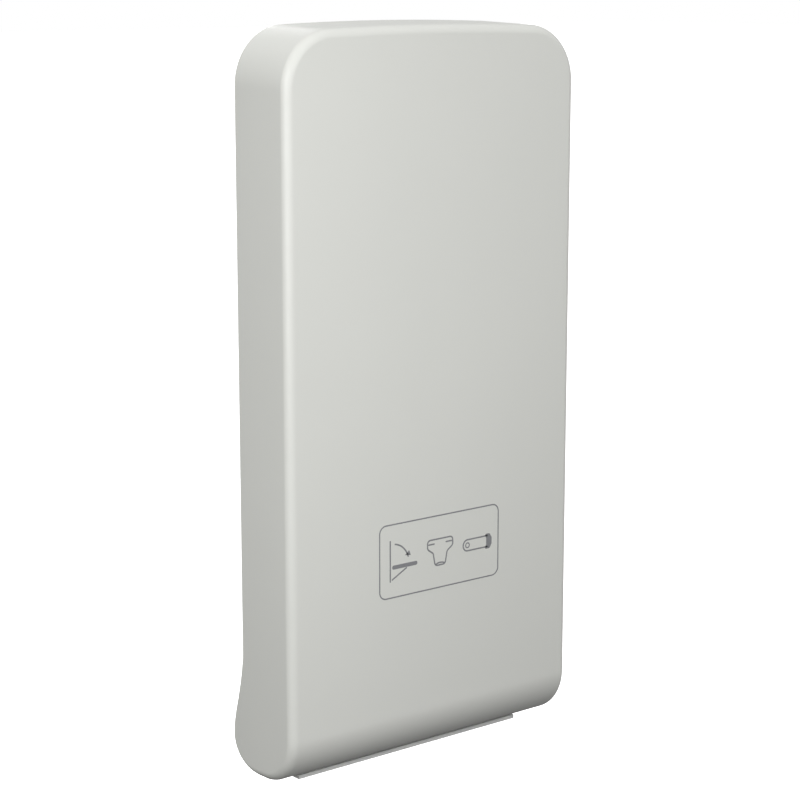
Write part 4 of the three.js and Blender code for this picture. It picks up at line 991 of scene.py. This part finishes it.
# ------------------------------------------------------------------ catch, stops and hooks
pockets = [round_rect(x - 10.3, x + 10.3, 424.7, 435.3, 0.6, 3) for x in (-18, 18)]
housing = Shape(slab("Y", round_rect(-34, 34, 421, 440, 5), RIM_Y, RIM_Y + 7.4, pockets, 0.8), slab("Y", round_rect(-33.95, 33.95, 421.05, 439.95, 4.95), RIM_Y + 6.4, PB, (), 0.5))
piece("catch_body", housing, "wall_frame", ["catch_housing"], "black_plastic", M_BLACK)
for side, s in SIDES:
    a, b = span(s, 8, 28)
    piece("catch_magnet_block_" + side, Shape(slab("Y", round_rect(a, b, 425, 435, 0.8, 4), RIM_Y + 0.4, RIM_Y + 6.3, (), 0.6)), "wall_frame", ["catch_magnet_" + side], "steel", M_MAGNET)
    f0 = TRAY_RIM + 0.5
    foot = [(0, f0), (1.4, f0), (1.8, f0 + 0.6), (3.2, f0 + 0.8), (5.2, f0 + 1.0), (6.5, f0 + 1.8), (7.3, f0 + 3.4), (7.5, f0 + 6), (7.5, -12), (6.8, -11.4), (6.8, -10.2), (7.5, -9.6), (7.5, PB), (0, PB)]
    piece("stop_bumper_foot_" + side, Shape(lathe("Y", (62 * s, 431), foot, 48)), "wall_frame", ["stop_bumper_" + side], "rubber", M_RUBBER)
    a, b = span(s, 111, 129)
    h = pf - GAP
    hook = [(h, -92), (h, -150), (-59, -150), (-60, -141), (-66, -146), (-75, -146), (-81, -140), (-83, -128), (-79, -126), (-76.5, -136), (-72, -140), (-66, -139), (-61, -132), (-59.5, -120), (-59, -92)]
    piece("bag_hook_arm_" + side, Shape(slab("X", rounded(hook, 3.0, 6), a, b, (), 1.1, 4)), "wall_frame", ["bag_hook_" + side], "panel_plastic", M_PANEL)


# ------------------------------------------------------------------ printed panel on the front: a plain frame with line symbols
def stroke(points, width, closed=False):
    """Flat ribbon along points, as one outline or two for a closed line."""
    w = width / 2
    if closed:
        loop = turned(points, True)
        return inset(loop, -w), [inset(loop, w)]
    left, right = [], []
    for i, p in enumerate(points):
        a, b = points[max(i - 1, 0)], points[min(i + 1, len(points) - 1)]
        dx, dy = b[0] - a[0], b[1] - a[1]
        k = math.hypot(dx, dy)
        nx, ny = -dy / k * w, dx / k * w
        left.append((p[0] + nx, p[1] + ny))
        right.append((p[0] - nx, p[1] - ny))
    end0, end1 = [], []
    for j in range(1, 6):
        t = math.pi * j / 6
        for out, p, q in ((end1, points[-1], left[-1]), (end0, points[0], right[0])):
            ux, uy = q[0] - p[0], q[1] - p[1]
            out.append((p[0] + ux * math.cos(t) + uy * math.sin(t), p[1] + uy * math.cos(t) - ux * math.sin(t)))
    return left + end1 + right[::-1] + end0, []


def arc2(cx, cz, r, a0, a1, n=20):
    return [(cx + r * math.cos(rad(a0 + (a1 - a0) * i / n)), cz + r * math.sin(rad(a0 + (a1 - a0) * i / n))) for i in range(n + 1)]


INK_BACK, INK_FRONT = FRONT_Y + 0.02, FRONT_Y - 0.09
ink = Shape()


def printed(outline, holes=()):
    ink.add(slab("Y", outline, INK_FRONT, INK_BACK, holes, 0.02, 1))


PX, CZ = 6.0, -188.7  # middle of the print
LINE = 1.9
printed(round_rect(PX - 95, PX + 95, CZ - 46, CZ + 46, 10.5, 10), [round_rect(PX - 93.3, PX + 93.3, CZ - 44.3, CZ + 44.3, 8.8, 10)])
# A bed folding down from a wall.
for pts in (
    [(PX - 78, CZ - 25), (PX - 78, CZ + 25)],
    [(PX - 75, CZ - 23), (PX - 53, CZ - 11.5)],
    [*arc2(PX - 76, CZ - 6, 27, 78, 18)],
):
    printed(*stroke(pts, LINE))
printed(round_rect(PX - 75, PX - 36, CZ - 10.5, CZ - 5.5, 2.2, 6))
printed([(PX - 46.2, CZ + 3.2), (PX - 55.4, CZ + 4.4), (PX - 48.8, CZ + 9.6)])
# A folded nappy.
nappy = [(-20, 16), (20, 16), (20, 5), (11, -1), (8, -17), (-8, -17), (-11, -1), (-20, 5)]
printed(*stroke(rounded([(PX + x, CZ + z) for x, z in nappy], 5, 8), LINE, True))
for sx in (-1, 1):
    printed(*stroke([(PX + sx * 18, CZ + 10.5), (PX + sx * 9.5, CZ + 10.5)], LINE))
printed(*stroke(arc2(PX, CZ - 31, 17, 112, 68, 14), LINE))
# A safety pin.
pin = [(PX + 76, CZ + 7), *arc2(PX + 44, CZ, 7, 90, 270, 20), (PX + 76, CZ - 7)]
printed(*stroke(pin, LINE))
printed(*stroke(ring(PX + 44, CZ, 3.0, 28), 1.5, True))
clasp = [(72, -9.6), (80, -9.6), (83.5, -4), (83.5, 4), (80, 9.6), (72, 9.6), (74.5, 4), (74.5, -4)]
printed(rounded([(PX + x, CZ + z) for x, z in clasp], 2.2, 6))
piece("front_print", ink, "bed", [], None, M_INK, sharp=80)

# ------------------------------------------------------------------ camera at the photograph's view
cam_data = bpy.data.cameras.new("camera")
cam = bpy.data.objects.new("camera", cam_data)
scene.collection.objects.link(cam)
scene.camera = cam
AZ, EL = 0.68247, -0.19406
forward = Vector((math.sin(AZ) * math.cos(EL), math.cos(AZ) * math.cos(EL), math.sin(EL)))
cam.location = (-1.63066, -2.07324, 0.49705)
cam.rotation_mode = "QUATERNION"
cam.rotation_quaternion = forward.to_track_quat("-Z", "Y")
cam_data.sensor_width, cam_data.lens = 36.0, 2151.29 / 800 * 36
cam_data.clip_start, cam_data.clip_end = 0.05, 100
cam_data.dof.use_dof = False

# ------------------------------------------------------------------ stage and light
floor_look = Look("floor_pale", Specular_IOR_Level=0.1, Emission_Color=(1, 1, 1, 1), Emission_Strength=0.95)
floor_look.colour(floor_look.ramp(floor_look.noise(0.8, 2, 0.5), [(0.3, (0.9, 0.9, 0.9, 1)), (0.7, (0.93, 0.93, 0.93, 1))]))
floor_look.roughness(floor_look.span(floor_look.noise(3, 3, 0.5), 0.85, 0.95))
floor_mesh = bpy.data.meshes.new("floor")
floor_mesh.from_pydata([(-60, -60, -1.25), (60, -60, -1.25), (60, 60, -1.25), (-60, 60, -1.25)], [], [(0, 1, 2, 3)])
floor_mesh.materials.append(floor_look.mat)
floor = bpy.data.objects.new("floor", floor_mesh)
scene.collection.objects.link(floor)
floor.visible_diffuse = floor.visible_glossy = False


def softbox(name, place, aim, size, power, colour=(1, 1, 1), size_y=None):
    data = bpy.data.lights.new(name, "AREA")
    data.shape = "RECTANGLE"
    data.size, data.size_y, data.energy, data.color = size, size_y or size, power, colour
    ob = bpy.data.objects.new(name, data)
    scene.collection.objects.link(ob)
    ob.location = place
    ob.rotation_mode = "QUATERNION"
    ob.rotation_quaternion = (Vector(aim) - Vector(place)).to_track_quat("-Z", "Y")
    return ob


softbox("near_front", (-0.25, -1.4, 0.6), (0, 0, 0.2), 0.8, 5.4)
softbox("near_left", (-1.4, -1.6, 0.2), (0, 0, 0), 0.9, 10.2)
softbox("left_strip", (-1.9, -1.0, 0.62), (0, 0, 0.12), 0.4, 21.2, size_y=1.6)
softbox("left_back", (-2.0, 0.6, 1.2), (0, 0, 0.2), 1.2, 1.8)
softbox("right", (2.4, -1.4, 0.8), (0, 0, 0), 1.6, 4.2)
softbox("back", (0.6, 2.6, 0.9), (0, 0, 0), 1.6, 40.0)

# The room is white to look at, and lights the object from above and from the right.
world = bpy.data.worlds.new("studio")
scene.world = world
world.use_nodes = True
wt = world.node_tree
wt.nodes.clear()
w_out = wt.nodes.new("ShaderNodeOutputWorld")
w_seen, w_light = wt.nodes.new("ShaderNodeBackground"), wt.nodes.new("ShaderNodeBackground")
w_seen.inputs["Color"].default_value = w_light.inputs["Color"].default_value = (1, 1, 1, 1)
w_dir, w_sum = wt.nodes.new("ShaderNodeTexCoord"), wt.nodes.new("ShaderNodeMath")
for socket, (axis, most) in enumerate((((0, 0, 1), 0.95), ((1, 0, 0), 0.53))):
    w_dot, w_fall = wt.nodes.new("ShaderNodeVectorMath"), wt.nodes.new("ShaderNodeMapRange")
    w_dot.operation = "DOT_PRODUCT"
    w_dot.inputs[1].default_value = axis
    w_fall.inputs["To Max"].default_value = most
    wt.links.new(w_dir.outputs["Generated"], w_dot.inputs[0])
    wt.links.new(w_dot.outputs["Value"], w_fall.inputs[0])
    wt.links.new(w_fall.outputs[0], w_sum.inputs[socket])
w_path, w_mix = wt.nodes.new("ShaderNodeLightPath"), wt.nodes.new("ShaderNodeMixShader")
wt.links.new(w_sum.outputs[0], w_light.inputs["Strength"])
wt.links.new(w_path.outputs["Is Camera Ray"], w_mix.inputs[0])
wt.links.new(w_light.outputs[0], w_mix.inputs[1])
wt.links.new(w_seen.outputs[0], w_mix.inputs[2])
wt.links.new(w_mix.outputs[0], w_out.inputs[0])

scene.view_settings.view_transform = "Standard"
scene.view_settings.look = "None"
